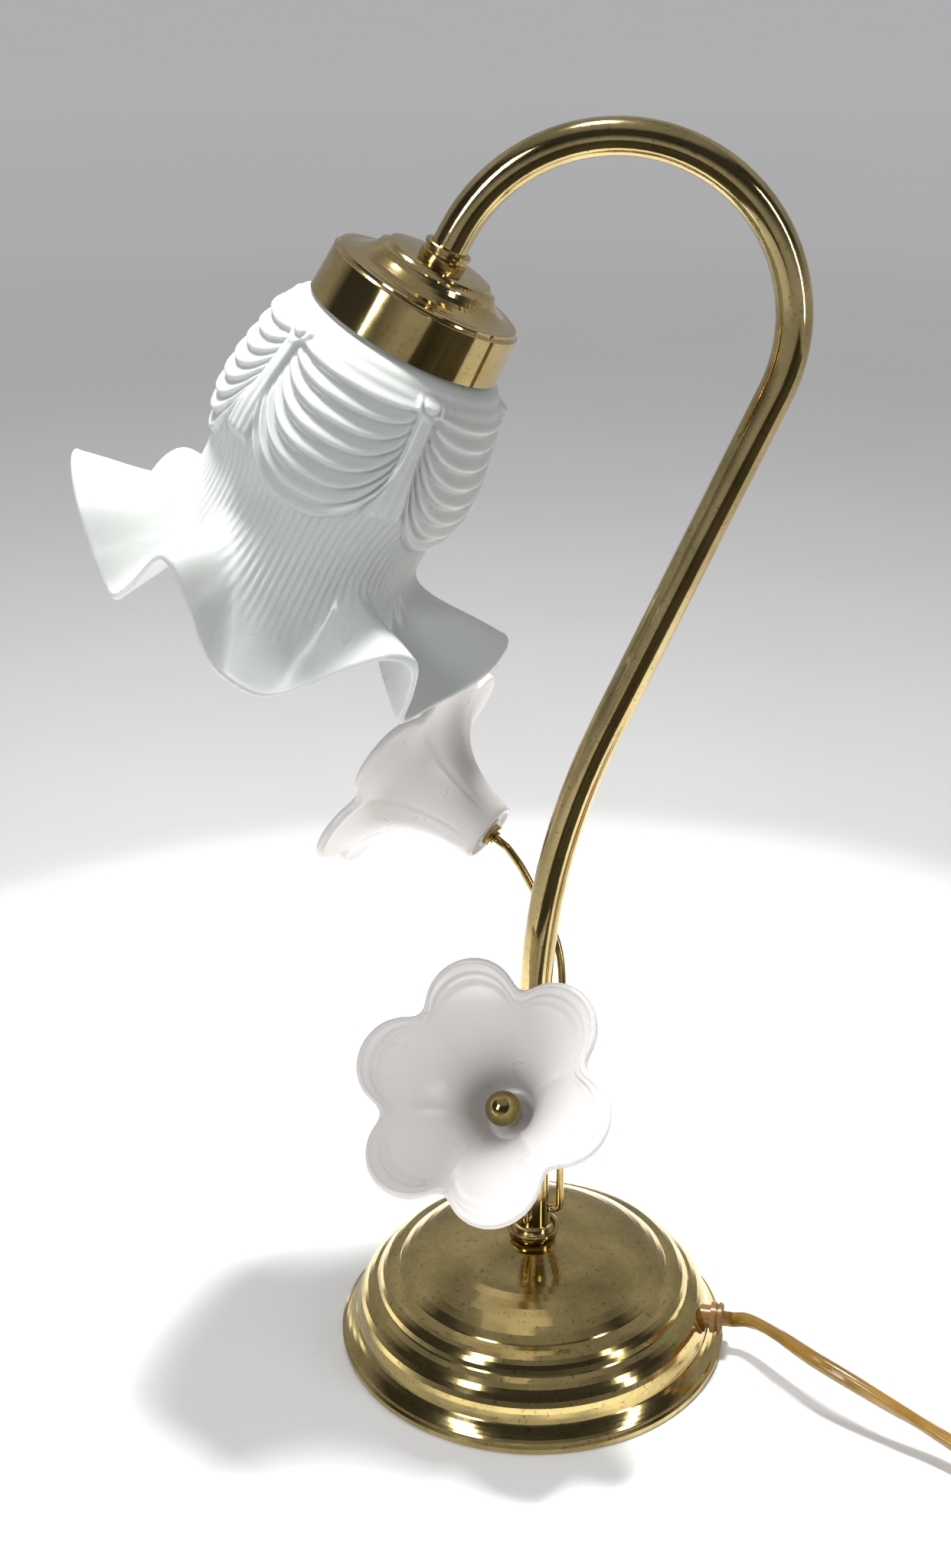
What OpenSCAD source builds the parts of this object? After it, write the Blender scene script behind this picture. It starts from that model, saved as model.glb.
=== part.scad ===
// Table lamp with an arched brass stem, a swagged glass shade and two glass flowers.
// Millimetres, +Z up. The origin is the centre of the foot's underside, the arch lies in the XZ plane
// and the shade hangs towards -X. The head and each flower are modelled along their own axes.

/* [Base] */
// Outer diameter of the foot
base_d = 150; // [140:1:164]
// Height of the spun shell where the stem stands on it
base_h = 43.5; // [40:0.5:48]
// Thickness of the spun brass of the base
base_sheet = 1; // [0.8:0.1:1.4]
// How far in from the rim the crease under the dome lies
dome_in = 23.5; // [21:0.5:27]
// Height of the crease under the dome
dome_z = 31.2; // [29:0.2:33]
// How far in from the rim the crease between the two rounded rings lies
ring_in = 14.6; // [12:0.2:18]
// Height of the crease between the two rounded rings
ring_z = 24.2; // [22:0.2:27]
// How far in from the rim the crease above the foot band lies
foot_in = 6; // [4.5:0.5:9]
// Height of the crease above the foot band
foot_z = 9; // [8.6:0.1:10]
// Height of the upright lip at the very edge
lip_h = 2.2; // [1.5:0.1:3]
// Thickness of the felt pad
felt_t = 1.6; // [1:0.1:2]
// Height of the raised middle of the iron weight
weight_h = 18.4; // [17:0.2:24]

/* [Stem] */
// Outer diameter of the stem tube
tube_d = 12; // [11:0.5:13]
// Wall of the stem tube
tube_wall = 1; // [0.8:0.1:1.2]
// Height where the straight foot of the stem starts to bend
bend_z = 143; // [135:1:150]
// Radius of the slow bend to the right
sway_r = 286; // [270:2:300]
// Lean of the straight part above the slow bend, in degrees
sway_a = 23.6; // [22:0.1:25]
// Length of the leaning straight part
sway_run = 128.5; // [120:0.5:136]
// Radius of the arch at the top
arch_r = 57; // [54:0.5:60]
// Straight end of the stem inside the head
end_run = 8; // [8:0.5:12]
// Outer diameter of the turned collar at the stem's foot
collar_d = 20.4; // [18:0.2:23]

/* [Head] */
// Tilt of the shade's axis from straight down, in degrees
head_tilt = 28.5; // [24:0.5:33]
// Diameter of the gallery's skirt at its lower edge
gallery_d = 67.4; // [66.4:0.2:70]
// Height of the gallery from its top face to its lower edge
gallery_h = 26; // [25:0.5:28]
// Thickness of the gallery's brass
gallery_sheet = 0.8; // [0.6:0.1:1]
// Diameter of the raised dome on top of the gallery
gallery_dome_d = 40.6; // [38:0.2:44]
// Diameter of the bulb's globe
bulb_d = 45; // [40:1:46]

/* [Shade] */
// Number of swags
swags = 5; // [4:1:6]
// Diameter of the glass neck inside the gallery
neck_d = 62.6; // [60:0.2:63]
// Diameter over the fullest part of the swags
swag_d = 91; // [86:1:94]
// Diameter of the waist below the swags
waist_d = 78; // [74:1:82]
// Depth of the swags, measured along the axis at their middle
swag_h = 52; // [46:1:56]
// Mean diameter of the wavy rim
rim_d = 134; // [124:1:140]
// Distance along the axis from the stem's end to the mean height of the rim
rim_s = 120; // [118:1:126]
// How far the rim swings in and out of its mean radius
rim_swing = 13; // [6:0.5:15]
// How far the rim rises and falls along the axis
rim_drop = 20; // [8:0.5:22]
// Thickness of the shade's glass
glass_t = 3.2; // [2.6:0.1:3.8]

/* [Flowers] */
// Number of petals
petals = 6; // [5:1:8]
// Diameter across the petal tips
flower_d = 97; // [88:1:104]
// Radius of the rounded end of a petal
petal_r = 17.2; // [16.4:0.1:18.4]
// Depth of a flower from its foot to the petal tips
flower_h = 39; // [36:1:44]
// Diameter of a flower's foot
flower_foot_d = 23.4; // [22:0.2:26]
// Thickness of a flower's glass
petal_t = 2.6; // [2.2:0.1:3]
// Diameter of the ball nut
ball_d = 13; // [12:0.2:14]
// Diameter of the stalk rods
stalk_d = 3; // [2.6:0.1:3.4]

/* [Cord] */
// Width of the two-core cord
cord_d = 6; // [5.4:0.1:6]
// Diameter of the lead inside the lamp
lead_d = 5; // [4:0.1:5.4]
// Direction in which the cord leaves the base, in degrees
gland_az = -8; // [-20:1:10]
// Height of the cord's exit
gland_z = 14.5; // [14.5:0.1:15.5]
// Length of the in-line switch
switch_l = 60; // [54:1:66]
// Width of the in-line switch
switch_w = 24; // [22:1:26]
// Height of the in-line switch
switch_h = 17; // [16:0.5:18]
// Length of the plug's body
plug_l = 36; // [34:1:38]
// Width of the plug's body across the pins
plug_w = 35; // [33:1:36]
// Thickness of the plug's body
plug_t = 13.7; // [13:0.1:15]

/* [Hidden] */

$fn = 96;
fit = 0.05;            // radial clearance of a screwed or sliding fit
clear = 0.3;           // clearance between pieces that only lie near each other
bend_thin = 0.02;      // a bent stretch of the stem is this much thinner than a straight one
bend_lap = 0.4;        // and reaches this far into it
nipple_d = 9.9;        // threaded tube that clamps the base and the head
nipple_bore = 7.8;
nut_r = 8.1;           // corner radius of a lock nut for the threaded tube
nut_t = 3;
washer_r = 11;
washer_t = 1.2;

// ---- the base's levels ----
base_r = base_d / 2;
dome_r = base_r - dome_in;
ring_r = base_r - ring_in;
foot_r = base_r - foot_in;
collar_z = base_h;                      // the collar stands on the shell
collar_h = 7;
stem_z = collar_z + 2.6;                // the stem's end stands on the collar's ledge
weight_floor = felt_t;
weight_r = foot_r - base_sheet - 0.5;
weight_rim_z = foot_z - base_sheet - 0.4;
boss_r = 45;
well_r = washer_r + 1;                  // well under the weight for the nut
well_z = weight_floor + 13;
slot_w = lead_d + 3;                    // radial slot in the weight for the lead
foot_nipple_z = well_z - washer_t - nut_t - 0.6;
gland_out = base_r + clear;             // radius of the gland's outer face
gland_flange_r = 6;
gland_flange_in = base_r - 4.6;
gland_in = ring_r - 1.6;
gland_shank_r = 4.5;

// ---- the stem's centreline, in the XZ plane ----
sway_end = [sway_r * (1 - cos(sway_a)), bend_z + sway_r * sin(sway_a)];
arch_start = sway_end + sway_run * [sin(sway_a), cos(sway_a)];
arch_c = arch_start + arch_r * [-cos(sway_a), sin(sway_a)];
arch_turn = 180 - head_tilt + sway_a;
arch_end = arch_c + arch_r * [cos(arch_turn - sway_a), sin(arch_turn - sway_a)];
head_dir = [-sin(head_tilt), -cos(head_tilt)];
head_o = arch_end + end_run * head_dir;

// ---- stations along the head's axis, from the stem's end ----
collar_top_s = -3;
gallery_s = 1.8;
head_washer_s = gallery_s + gallery_sheet;
head_nut_s = head_washer_s + washer_t;
holder_cap_s = head_nut_s + nut_t + 0.3;
head_nipple_s = holder_cap_s + 6;
holder_s = 19;
holder_r = 14.3;
holder_flange_r = 16.2;
holder_flange_t = 2;
holder_end_s = 56;
core_r = 12.6;
core_s = holder_s + 3;
core_floor_s = core_s + 12;
shell_r = 7.5;                          // outer radius of the screw shell
shell_bore = 7.15;
bulb_thread_r = shell_bore - fit;
bulb_tip_s = core_floor_s + 1.8;
bulb_cap_s = bulb_tip_s + 3.2;
bulb_neck_s = holder_end_s + 2;
bulb_c_s = bulb_neck_s + 26;
bulb_wall = 1.2;
shade_washer_s = holder_s + holder_flange_t;
shade_washer_t = 1;
shade_s = shade_washer_s + shade_washer_t;
shade_hole_r = holder_r + 1;
shade_ring_s = shade_s + glass_t;
shade_ring_r = 20;

// ---- the flowers' places: foot centre, azimuth and elevation of the axis, turn about it ----
front_o = [-6.3, -22.8, 111.1];
front_az = 248.3;
front_el = 45.2;
front_turn = 26;
upper_o = [-17.8, 20.2, 205.7];
upper_az = 153.5;
upper_el = 29.3;
upper_turn = 3;
seat_r = 4.4;
seat_s = -2.2;                          // the seat disc, along a flower's axis
seat_top = 0.2;
neck_s = seat_s - 1;
stud_r = 1.9;
stud_end = 11;
flower_floor = 1.2;
boss_s = 7.3;
ball_s = boss_s + 0.2 + ball_d / 2;

// ---- the stalks' routes, from the stem to the seats ----
function axis_of(az, el) = [cos(el) * cos(az), cos(el) * sin(az), sin(el)];
front_end = front_o + neck_s * axis_of(front_az, front_el);
upper_end = upper_o + neck_s * axis_of(upper_az, upper_el);
braze_r = tube_d / 2 + fit;
function on_side(az, r, z) = [r * cos(az), r * sin(az), z];
function hook(az) = [on_side(az, braze_r, 55.4), on_side(az, 7.2, 55.4), on_side(az, 8.5, 55.6),
    on_side(az, 9.6, 56.5), on_side(az, 10.2, 58.2), on_side(az, 10.2, 68)];
front_route = concat(hook(255), [[-2.8, -10.4, 82], [-3.4, -12.6, 93], [-4.4, -16.2, 101.6],
    front_end - 2.6 * axis_of(front_az, front_el), front_end]);
upper_route = concat(hook(0), [[10.2, 0, 92], [10.3, 0.4, 128], [10, 1.8, 150], [8.6, 4.8, 165],
    [4.2, 8.8, 177], [-1.6, 12, 187.5], [-6.4, 14.6, 195.5],
    upper_end - 5 * axis_of(upper_az, upper_el), upper_end]);

// ---- the free cord: its points are chosen by hand ----
gland_dir = [cos(gland_az), sin(gland_az), 0];
cord_start = gland_out * gland_dir + [0, 0, gland_z];
switch_x = 180;                         // cord entry of the switch
switch_y = -84.5;
entry_z = 8.5;
coil_x = 230;
coil_y = -28;
plug_y = 52;                            // rear end of the plug's sleeve
run_points = [cord_start, cord_start + 4 * gland_dir, [84, -15, 17.5], [93, -26, 21],
    [106, -41, 22], [119, -51, 20.5], [132, -59, 17.5], [145, -66, 14], [156, -73.3, 11.5],
    [165, -79.5, 9.6], [switch_x - 8, switch_y + 1.2, 8.7], [switch_x - 3, switch_y, entry_z],
    [switch_x, switch_y, entry_z]];
link_start = [switch_x + switch_l, switch_y, entry_z];

// the coil: four layers, each spiralling in or out by one step a turn
coil_r = 34;
coil_step = 7.4;
layer_turns = 1.125;
climb_turns = 0.5;
coil_layers = 4;
loop_rings = 24;
coil_turns = coil_layers * layer_turns + (coil_layers - 1) * climb_turns;
coil_z = cord_d / 2 + 0.1;
coil_entry = [coil_x + coil_r, coil_y, coil_z];
coil_top = coil_entry + [0, 0, (coil_layers - 1) * coil_step];
stub = [0, cord_d, 0];                  // straight ends of the coil
link_points = [link_start, link_start + [4, 0, 0], [250, -83.2, 7], [256, -80, 5.4],
    [261, -74.5, 4], [263.7, -67.5, 3.3], [264, -59, coil_z], [264, -48, coil_z],
    coil_entry - stub - [0, 4, 0], coil_entry - stub];
plug_z = plug_t / 2;
tail_end = [coil_x + coil_r, plug_y, plug_z];
tail_points = [coil_top + stub, coil_top + stub + [0, 5, 0], coil_top + [0, 28, -3.3],
    coil_top + [0, 48, -10.3], coil_top + [0, 64, -16.7], tail_end - [0, 6, 0], tail_end];

// ================= shared functions =================
function unit(v) = v / norm(v);
function lerp(a, b, t) = a + (b - a) * t;
function smooth_step(t) = let (u = min(max(t, 0), 1)) u * u * (3 - 2 * u);
function flip(list) = [for (i = [len(list) - 1:-1:0]) list[i]];

// arc from p to q that bulges by sag to the left of the way from p to q
function bulge(p, q, sag, n = 8) = let (
        c = (q - p) / 2,
        h = norm(c),
        r = (h * h + sag * sag) / (2 * abs(sag)),
        side = sign(sag) * [-c.y, c.x] / h,
        o = (p + q) / 2 - side * (r - abs(sag)),
        a0 = atan2(p.y - o.y, p.x - o.x),
        a1 = atan2(q.y - o.y, q.x - o.x),
        turn = (a1 - a0 + 540) % 360 - 180)
    [for (i = [0:n]) o + r * [cos(a0 + turn * i / n), sin(a0 + turn * i / n)]];

// rounded curve through points, with n steps between two of them
function spline(p, n = 4) = concat([for (i = [0:len(p) - 2], k = [0:n - 1]) let (
        a = p[max(i - 1, 0)],
        b = p[i],
        c = p[i + 1],
        d = p[min(i + 2, len(p) - 1)],
        t = k / n)
    0.5 * (2 * b + (c - a) * t + (2 * a - 5 * b + 4 * c - d) * t * t
        + (3 * b - a - 3 * c + d) * t * t * t)], [p[len(p) - 1]]);

// the same, with its first and last stretch left straight
function soft_route(p, n) = concat([p[0]], spline([for (i = [1:len(p) - 2]) p[i]], n), [p[len(p) - 1]]);

function path_dirs(p) = [for (i = [0:len(p) - 1])
    unit(p[min(i + 1, len(p) - 1)] - p[max(i - 1, 0)])];
function square_to(n, t) = unit(n - (n * t) * t);
// normals carried along the path without twisting
function path_normals(t, first) = [for (i = 0, n = square_to(first, t[0]); i < len(t);
    i = i + 1, n = i < len(t) ? square_to(n, t[i]) : n) n];
function path_length(p) = len(p) < 2 ? 0 : [for (i = [1:len(p) - 1]) norm(p[i] - p[i - 1])]
    * [for (i = [1:len(p) - 1]) 1];

// round tube swept along a path, as one closed mesh
module sweep(path, d, sides = 10, first = [0, 0, 1]) {
    dirs = path_dirs(path);
    normals = path_normals(dirs, first);
    rings = len(path);
    points = [for (i = [0:rings - 1], k = [0:sides - 1]) let (
            a = 360 * k / sides,
            n = normals[i],
            b = cross(dirs[i], n))
        path[i] + d / 2 * (cos(a) * n + sin(a) * b)];
    walls = [for (i = [0:rings - 2], k = [0:sides - 1]) let (
            a = i * sides + k,
            b = i * sides + (k + 1) % sides)
        each [[a, a + sides, b], [b, a + sides, b + sides]]];
    last = (rings - 1) * sides;
    front = [for (k = [1:sides - 2]) [0, k, k + 1]];
    back = [for (k = [1:sides - 2]) [last, last + k + 1, last + k]];
    polyhedron(points, concat(walls, front, back));
}

// closed ring of profile loops: rows[i][k] is point k of the loop at step i round the axis
module ring_loft(rows) {
    n = len(rows);
    m = len(rows[0]);
    points = [for (row = rows) each row];
    faces = [for (i = [0:n - 1], k = [0:m - 1]) let (
            j = (i + 1) % n,
            l = (k + 1) % m,
            a = i * m + k,
            b = j * m + k,
            c = j * m + l,
            d = i * m + l)
        each [[a, b, d], [b, c, d]]];
    polyhedron(points, faces);
}

module ring(r_out, r_in, h) {
    linear_extrude(h)
        difference() {
            circle(r_out);
            circle(r_in);
        }
}

module hex_nut(r, bore, h) {
    difference() {
        cylinder(r = r, h = h, $fn = 6);
        translate([0, 0, -1]) cylinder(r = bore, h = h + 2);
    }
}

module rounded_slab(l, w, r, h) {
    linear_extrude(h) {
        square([l - 2 * r, w], center = true);
        square([l, w - 2 * r], center = true);
        for (x = [-1, 1], y = [-1, 1])
            translate([x * (l / 2 - r), y * (w / 2 - r)]) circle(r, $fn = 48);
    }
}

module in_head(s = 0) {
    translate([head_o.x, 0, head_o.y]) rotate([0, 180 + head_tilt, 0]) translate([0, 0, s]) children();
}

module in_flower(o, az, el, turn) {
    translate(o) rotate([0, 90 - el, az]) rotate([0, 0, turn]) children();
}

module along_gland(r) {
    rotate([0, 0, gland_az]) translate([r, 0, gland_z]) rotate([0, 90, 0]) children();
}

// ================= base =================
module felt_pad() {
    color("darkgreen")
        cylinder(r = base_r - base_sheet - 1.6, h = felt_t);
}

// the spun outline from the middle to the lip, drawn inwards by t
function base_outline(t) = let (
        in = [-0.7 * t, -0.75 * t],
        ridge = [27, base_h - 2.4] + in,
        dome = [dome_r, dome_z] + in,
        ring = [ring_r, ring_z] + in,
        foot = [foot_r, foot_z] + in)
    concat(bulge([collar_d / 2 - 1, base_h - t], ridge, -0.5, 6),
        bulge(ridge, dome, 2.4, 8),
        bulge(dome + [0.5, -0.5], ring, 1.5, 6),
        bulge(ring + [0.5, -0.5], foot, 2.5, 8),
        bulge(foot + [0.4, -0.4], [base_r - t, lip_h + 0.4 + t], -0.4, 5));

module base_shell() {
    outer = base_outline(0);
    inner = base_outline(base_sheet);
    lip_z = 0.6;
    color("goldenrod")
        difference() {
            rotate_extrude()
                polygon(concat([[nipple_d / 2 + fit, base_h]], outer,
                    [[base_r, lip_h], [base_r, lip_z], [base_r - base_sheet, lip_z]],
                    flip(inner), [[nipple_d / 2 + fit, base_h - base_sheet]]));
            along_gland(gland_in - 4) cylinder(r = gland_shank_r + fit, h = 20);
        }
}

module base_weight() {
    color("dimgray")
        difference() {
            union() {
                translate([0, 0, weight_floor]) cylinder(r = weight_r, h = weight_rim_z - weight_floor);
                translate([0, 0, weight_floor]) cylinder(r = boss_r, h = weight_h);
            }
            translate([0, 0, -1]) cylinder(r = nipple_d / 2 + clear, h = weight_h + 10);
            translate([0, 0, -1]) cylinder(r = well_r, h = well_z + 1);
            rotate([0, 0, gland_az]) translate([0, -slot_w / 2, -1]) cube([base_r, slot_w, weight_h + 10]);
        }
}

module foot_washer() {
    color("silver")
        translate([0, 0, well_z - washer_t]) ring(washer_r, nipple_d / 2 + fit, washer_t);
}

module foot_nut() {
    color("silver")
        translate([0, 0, well_z - washer_t - nut_t]) hex_nut(nut_r, nipple_d / 2 + fit, nut_t);
}

module foot_nipple() {
    color("silver")
        translate([0, 0, foot_nipple_z])
            ring(nipple_d / 2, nipple_bore / 2, stem_z + 14 - foot_nipple_z);
}

module cord_gland() {
    bore = lead_d / 2 + fit;
    color([0.45, 0.3, 0.1])
        along_gland(0) rotate_extrude()
            polygon([[bore, gland_in], [gland_shank_r, gland_in], [gland_shank_r, gland_flange_in],
                [gland_flange_r, gland_flange_in], [gland_flange_r, gland_flange_in + 2],
                [gland_flange_r - 0.7, gland_flange_in + 2.3], [gland_flange_r - 0.7, gland_flange_in + 2.7],
                [gland_flange_r, gland_flange_in + 3], [gland_flange_r, gland_out - 0.8],
                [gland_flange_r - 0.8, gland_out], [bore, gland_out]]);
}

module gland_nut() {
    color([0.45, 0.3, 0.1])
        along_gland(gland_in + 0.5) hex_nut(gland_flange_r, gland_shank_r + fit, 2.4);
}

// ================= stem =================
module stem_collar() {
    r = collar_d / 2;
    seat = tube_d / 2 + fit;
    color("darkgoldenrod")
        rotate_extrude()
            translate([0, collar_z])
                polygon(concat([[nipple_d / 2 + fit, 0], [r - 3, 0]],
                    bulge([r - 3, 0.5], [r - 0.5, 3.2], -0.5, 5),
                    [[r, 3.7], [r, 4.3], [r - 0.6, 4.7], [r - 1.6, 4.3], [seat + 2.6, 3.6]],
                    bulge([seat + 2.2, 4.1], [seat + 0.6, collar_h], 0.4, 5),
                    [[seat, collar_h], [seat, stem_z - collar_z], [nipple_d / 2 + fit, stem_z - collar_z]]));
}

// rod bent through an arc in the XZ plane, reaching a little into its neighbours at both ends
module arc_rod(o, r, start, turn, rod_r) {
    more = bend_lap / r * 180 / PI;
    translate([o.x, 0, o.y]) rotate([90, 0, 0]) rotate([0, 0, start - more])
        rotate_extrude(angle = turn + 2 * more)
            translate([r, 0]) circle(rod_r);
}

// the stem's whole length as a rod, with its two ends drawn out by extra
module stem_rod(r, extra) {
    translate([0, 0, stem_z - extra]) cylinder(r = r, h = bend_z - stem_z + extra);
    arc_rod([sway_r, bend_z], sway_r, 180 - sway_a, sway_a, r - bend_thin);
    translate([sway_end.x, 0, sway_end.y]) rotate([0, sway_a, 0]) cylinder(r = r, h = sway_run);
    arc_rod(arch_c, arch_r, -sway_a, arch_turn, r - bend_thin);
    in_head(-end_run) cylinder(r = r, h = end_run + extra);
}

module stem_tube() {
    color("goldenrod")
        difference() {
            stem_rod(tube_d / 2, 0);
            stem_rod(tube_d / 2 - tube_wall, 1);
        }
}

// the lead's way: out of the gland, through the slot, up the stem and into the lampholder
function stem_line() = concat(
    [for (z = [20, 50, 80, 112]) [0, 0, z]],
    [for (i = [0:8]) let (a = 180 - sway_a * i / 8)
        [sway_r + sway_r * cos(a), 0, bend_z + sway_r * sin(a)]],
    [for (i = [1:4]) let (p = lerp(sway_end, arch_start, i / 5)) [p.x, 0, p.y]],
    [for (i = [0:18]) let (a = -sway_a + arch_turn * i / 18)
        [arch_c.x + arch_r * cos(a), 0, arch_c.y + arch_r * sin(a)]],
    [for (s = [0, core_s - 0.05]) let (p = head_o + s * head_dir) [p.x, 0, p.y]]);

module inner_lead() {
    low = weight_floor + lead_d / 2 + 0.2;
    turn_r = 8;
    inside = concat([for (p = [[gland_out, gland_z], [gland_in - 1, gland_z], [gland_in - 8, gland_z - 1.2],
            [42, 8.5], [34, low + 0.6], [24, low], [16, low]]) p],
        [for (a = [270:-22.5:202.5]) [turn_r + turn_r * cos(a), low + turn_r + turn_r * sin(a)]]);
    color([0.75, 0.72, 0.65])
        sweep(concat([for (p = inside) [p.x * gland_dir.x, p.x * gland_dir.y, p.y]], stem_line()), lead_d, 8);
}

// ================= stalks and flowers =================
module stalk_front() {
    color("darkgoldenrod") sweep(soft_route(front_route, 3), stalk_d, 10);
}

module stalk_upper() {
    color("darkgoldenrod") sweep(soft_route(upper_route, 3), stalk_d, 10, [0, 1, 0]);
}

module seat() {
    color("darkgoldenrod")
        rotate_extrude()
            polygon([[0, neck_s], [2.4, neck_s], [2.4, seat_s], [seat_r - 0.3, seat_s],
                [seat_r, seat_s + 0.3], [seat_r, seat_top], [stud_r, seat_top], [stud_r, stud_end],
                [0, stud_end]]);
}

module seat_front() {
    in_flower(front_o, front_az, front_el, 0) seat();
}

module seat_upper() {
    in_flower(upper_o, upper_az, upper_el, 0) seat();
}

module soft_washer() {
    color("whitesmoke")
        translate([0, 0, seat_top]) ring(6, stud_r + clear, flower_floor - seat_top);
}

module washer_front() {
    in_flower(front_o, front_az, front_el, 0) soft_washer();
}

module washer_upper() {
    in_flower(upper_o, upper_az, upper_el, 0) soft_washer();
}

// radius of the petalled edge at an angle round the flower
petal_c = flower_d / 2 - petal_r;
function petal_edge(a) = let (
        half = 180 / petals,
        b = (a + half + 10 * 360) % (2 * half) - half)
    petal_c * cos(b) + sqrt(max(petal_r * petal_r - pow(petal_c * sin(b), 2), 0.04 * petal_r));

// the trumpet's outline, from the foot at t = 0 to the petal tips at t = 1
trumpet = [[flower_foot_d / 2, 0], [flower_foot_d / 2 + 2, flower_h * 0.65],
    [flower_d * 0.25, flower_h * 0.96], [flower_d / 2, flower_h]];
function trumpet_at(t) = let (u = 1 - t)
    u * u * u * trumpet[0] + 3 * u * u * t * trumpet[1] + 3 * u * t * t * trumpet[2]
        + t * t * t * trumpet[3];
function trumpet_side(t) = let (
        u = 1 - t,
        d = u * u * (trumpet[1] - trumpet[0]) + 2 * u * t * (trumpet[2] - trumpet[1])
            + t * t * (trumpet[3] - trumpet[2]))
    unit([-d.y, d.x]);
// the place on the outline that has a radius, found by halving
function trumpet_find(r, lo = 0, hi = 1, n = 12) = let (mid = (lo + hi) / 2)
    n == 0 ? mid : trumpet_at(mid).x < r ? trumpet_find(r, mid, hi, n - 1)
        : trumpet_find(r, lo, mid, n - 1);

function flower_loop(a) = let (
        edge = trumpet_find(petal_edge(a) - 0.6),
        outer = [for (f = [0.12, 0.3, 0.48, 0.66, 0.84, 0.95]) trumpet_at(f * edge)],
        inner = [for (f = [0.93, 0.78, 0.6, 0.42, 0.27]) trumpet_at(f * edge) + petal_t * trumpet_side(f * edge)],
        tip = trumpet_at(edge),
        n = trumpet_side(edge),
        t = [n.y, -n.x])
    concat([[stud_r + 0.5, flower_floor], [flower_foot_d / 2 - 2.2, flower_floor],
            [flower_foot_d / 2 - 1.6, 0.2], [flower_foot_d / 2 - 0.4, 0]],
        outer, [tip + 0.7 * petal_t * n + 0.8 * t, tip + 1.35 * petal_t * n - 1.2 * t], inner,
        [[6.6, 5.2], [5.6, boss_s], [stud_r + 0.5, boss_s]]);

module flower() {
    steps = petals * 8;
    color([0.93, 0.9, 0.9])
        ring_loft([for (i = [0:steps - 1]) let (a = 360 * i / steps)
            [for (p = flower_loop(a)) [p.x * cos(a), p.x * sin(a), p.y]]]);
}

module flower_front() {
    in_flower(front_o, front_az, front_el, front_turn) flower();
}

module flower_upper() {
    in_flower(upper_o, upper_az, upper_el, upper_turn) flower();
}

module ball_nut() {
    color("gold")
        difference() {
            translate([0, 0, ball_s]) sphere(ball_d / 2);
            cylinder(r = stud_r + fit, h = stud_end + 0.3);
        }
}

module finial_front() {
    in_flower(front_o, front_az, front_el, 0) ball_nut();
}

module finial_upper() {
    in_flower(upper_o, upper_az, upper_el, 0) ball_nut();
}

// ================= head =================
module head_collar() {
    r = tube_d / 2 + 1.9;
    seat = tube_d / 2 + fit;
    color("darkgoldenrod")
        in_head() rotate_extrude()
            polygon([[nipple_d / 2 + fit, 0], [seat, 0], [seat, collar_top_s], [r - 0.3, collar_top_s],
                [r, collar_top_s + 0.3], [r, collar_top_s + 1.4], [r - 0.6, collar_top_s + 1.7],
                [r - 0.6, gallery_s - 2], [r, gallery_s - 1.6], [r, gallery_s],
                [nipple_d / 2 + fit, gallery_s]]);
}

function gallery_outline(t) = let (
        dome = gallery_dome_d / 2,
        skirt = gallery_d / 2)
    concat([[dome - 4, t + 0.4]],
        bulge([dome - 2.5, 0.7 + t], [dome - t * 0.6, 2.6 + t * 0.4], 0.3, 4),
        bulge([dome + 0.2 - t * 0.5, 3 + t * 0.4], [skirt - 3.4 - t * 0.5, 8.6 + t * 0.5], 1.6, 7),
        bulge([skirt - 2.2 - t * 0.7, 8.9 + t * 0.6], [skirt - 0.9 - t, 10.6 + t * 0.3], 0.4, 4),
        [[skirt - t, gallery_h]]);

module gallery_cap() {
    color("goldenrod")
        in_head(gallery_s) rotate_extrude()
            polygon(concat([[nipple_d / 2 + fit, 0], [gallery_dome_d / 2 - 9, 0]], gallery_outline(0),
                flip(gallery_outline(gallery_sheet)),
                [[gallery_dome_d / 2 - 9, gallery_sheet], [nipple_d / 2 + fit, gallery_sheet]]));
}

module head_washer() {
    color("silver")
        in_head(head_washer_s) ring(gallery_dome_d / 2 - 10, nipple_d / 2 + fit, washer_t);
}

module head_nut() {
    color("silver")
        in_head(head_nut_s) hex_nut(nut_r, nipple_d / 2 + fit, nut_t);
}

module head_nipple() {
    color("silver")
        in_head(-end_run + 0.4) ring(nipple_d / 2, nipple_bore / 2, head_nipple_s + end_run - 0.4);
}

module holder_cap() {
    wall = 1.8;
    color("ivory")
        in_head() rotate_extrude()
            polygon([[nipple_d / 2 + fit, holder_cap_s], [9, holder_cap_s], [holder_r - 1, holder_cap_s + 4],
                [holder_r, holder_cap_s + 6], [holder_r, holder_s], [holder_r - wall, holder_s],
                [holder_r - wall, head_nipple_s + 1], [nipple_d / 2 + fit, head_nipple_s + 1]]);
}

module holder_body() {
    color("ivory")
        in_head() rotate_extrude()
            polygon([[core_r + fit, holder_s], [holder_flange_r, holder_s],
                [holder_flange_r, shade_washer_s], [holder_r, shade_washer_s],
                [holder_r, holder_end_s + 0.8], [shell_r + 1, holder_end_s + 0.8],
                [shell_r + 1, holder_end_s], [core_r + fit, holder_end_s]]);
}

module holder_core() {
    color("white")
        in_head() difference() {
            translate([0, 0, core_s]) cylinder(r = core_r, h = holder_end_s - core_s);
            translate([0, 0, core_floor_s]) cylinder(r = shell_r + fit, h = holder_end_s);
            for (x = [-1, 1])
                translate([x * 8, 0, core_s - 1]) cylinder(r = 1.5 + fit, h = 7);
        }
}

module terminal_screws() {
    color("silver")
        in_head() for (x = [-1, 1])
            translate([x * 8, 0, core_s]) {
                cylinder(r = 1.5, h = 5);
                translate([0, 0, -1.8]) cylinder(r = 2.6, h = 1.8);
            }
}

module screw_shell() {
    color("gold")
        in_head(core_floor_s + 2.2) ring(shell_r, shell_bore, holder_end_s - core_floor_s - 2.2);
}

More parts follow.
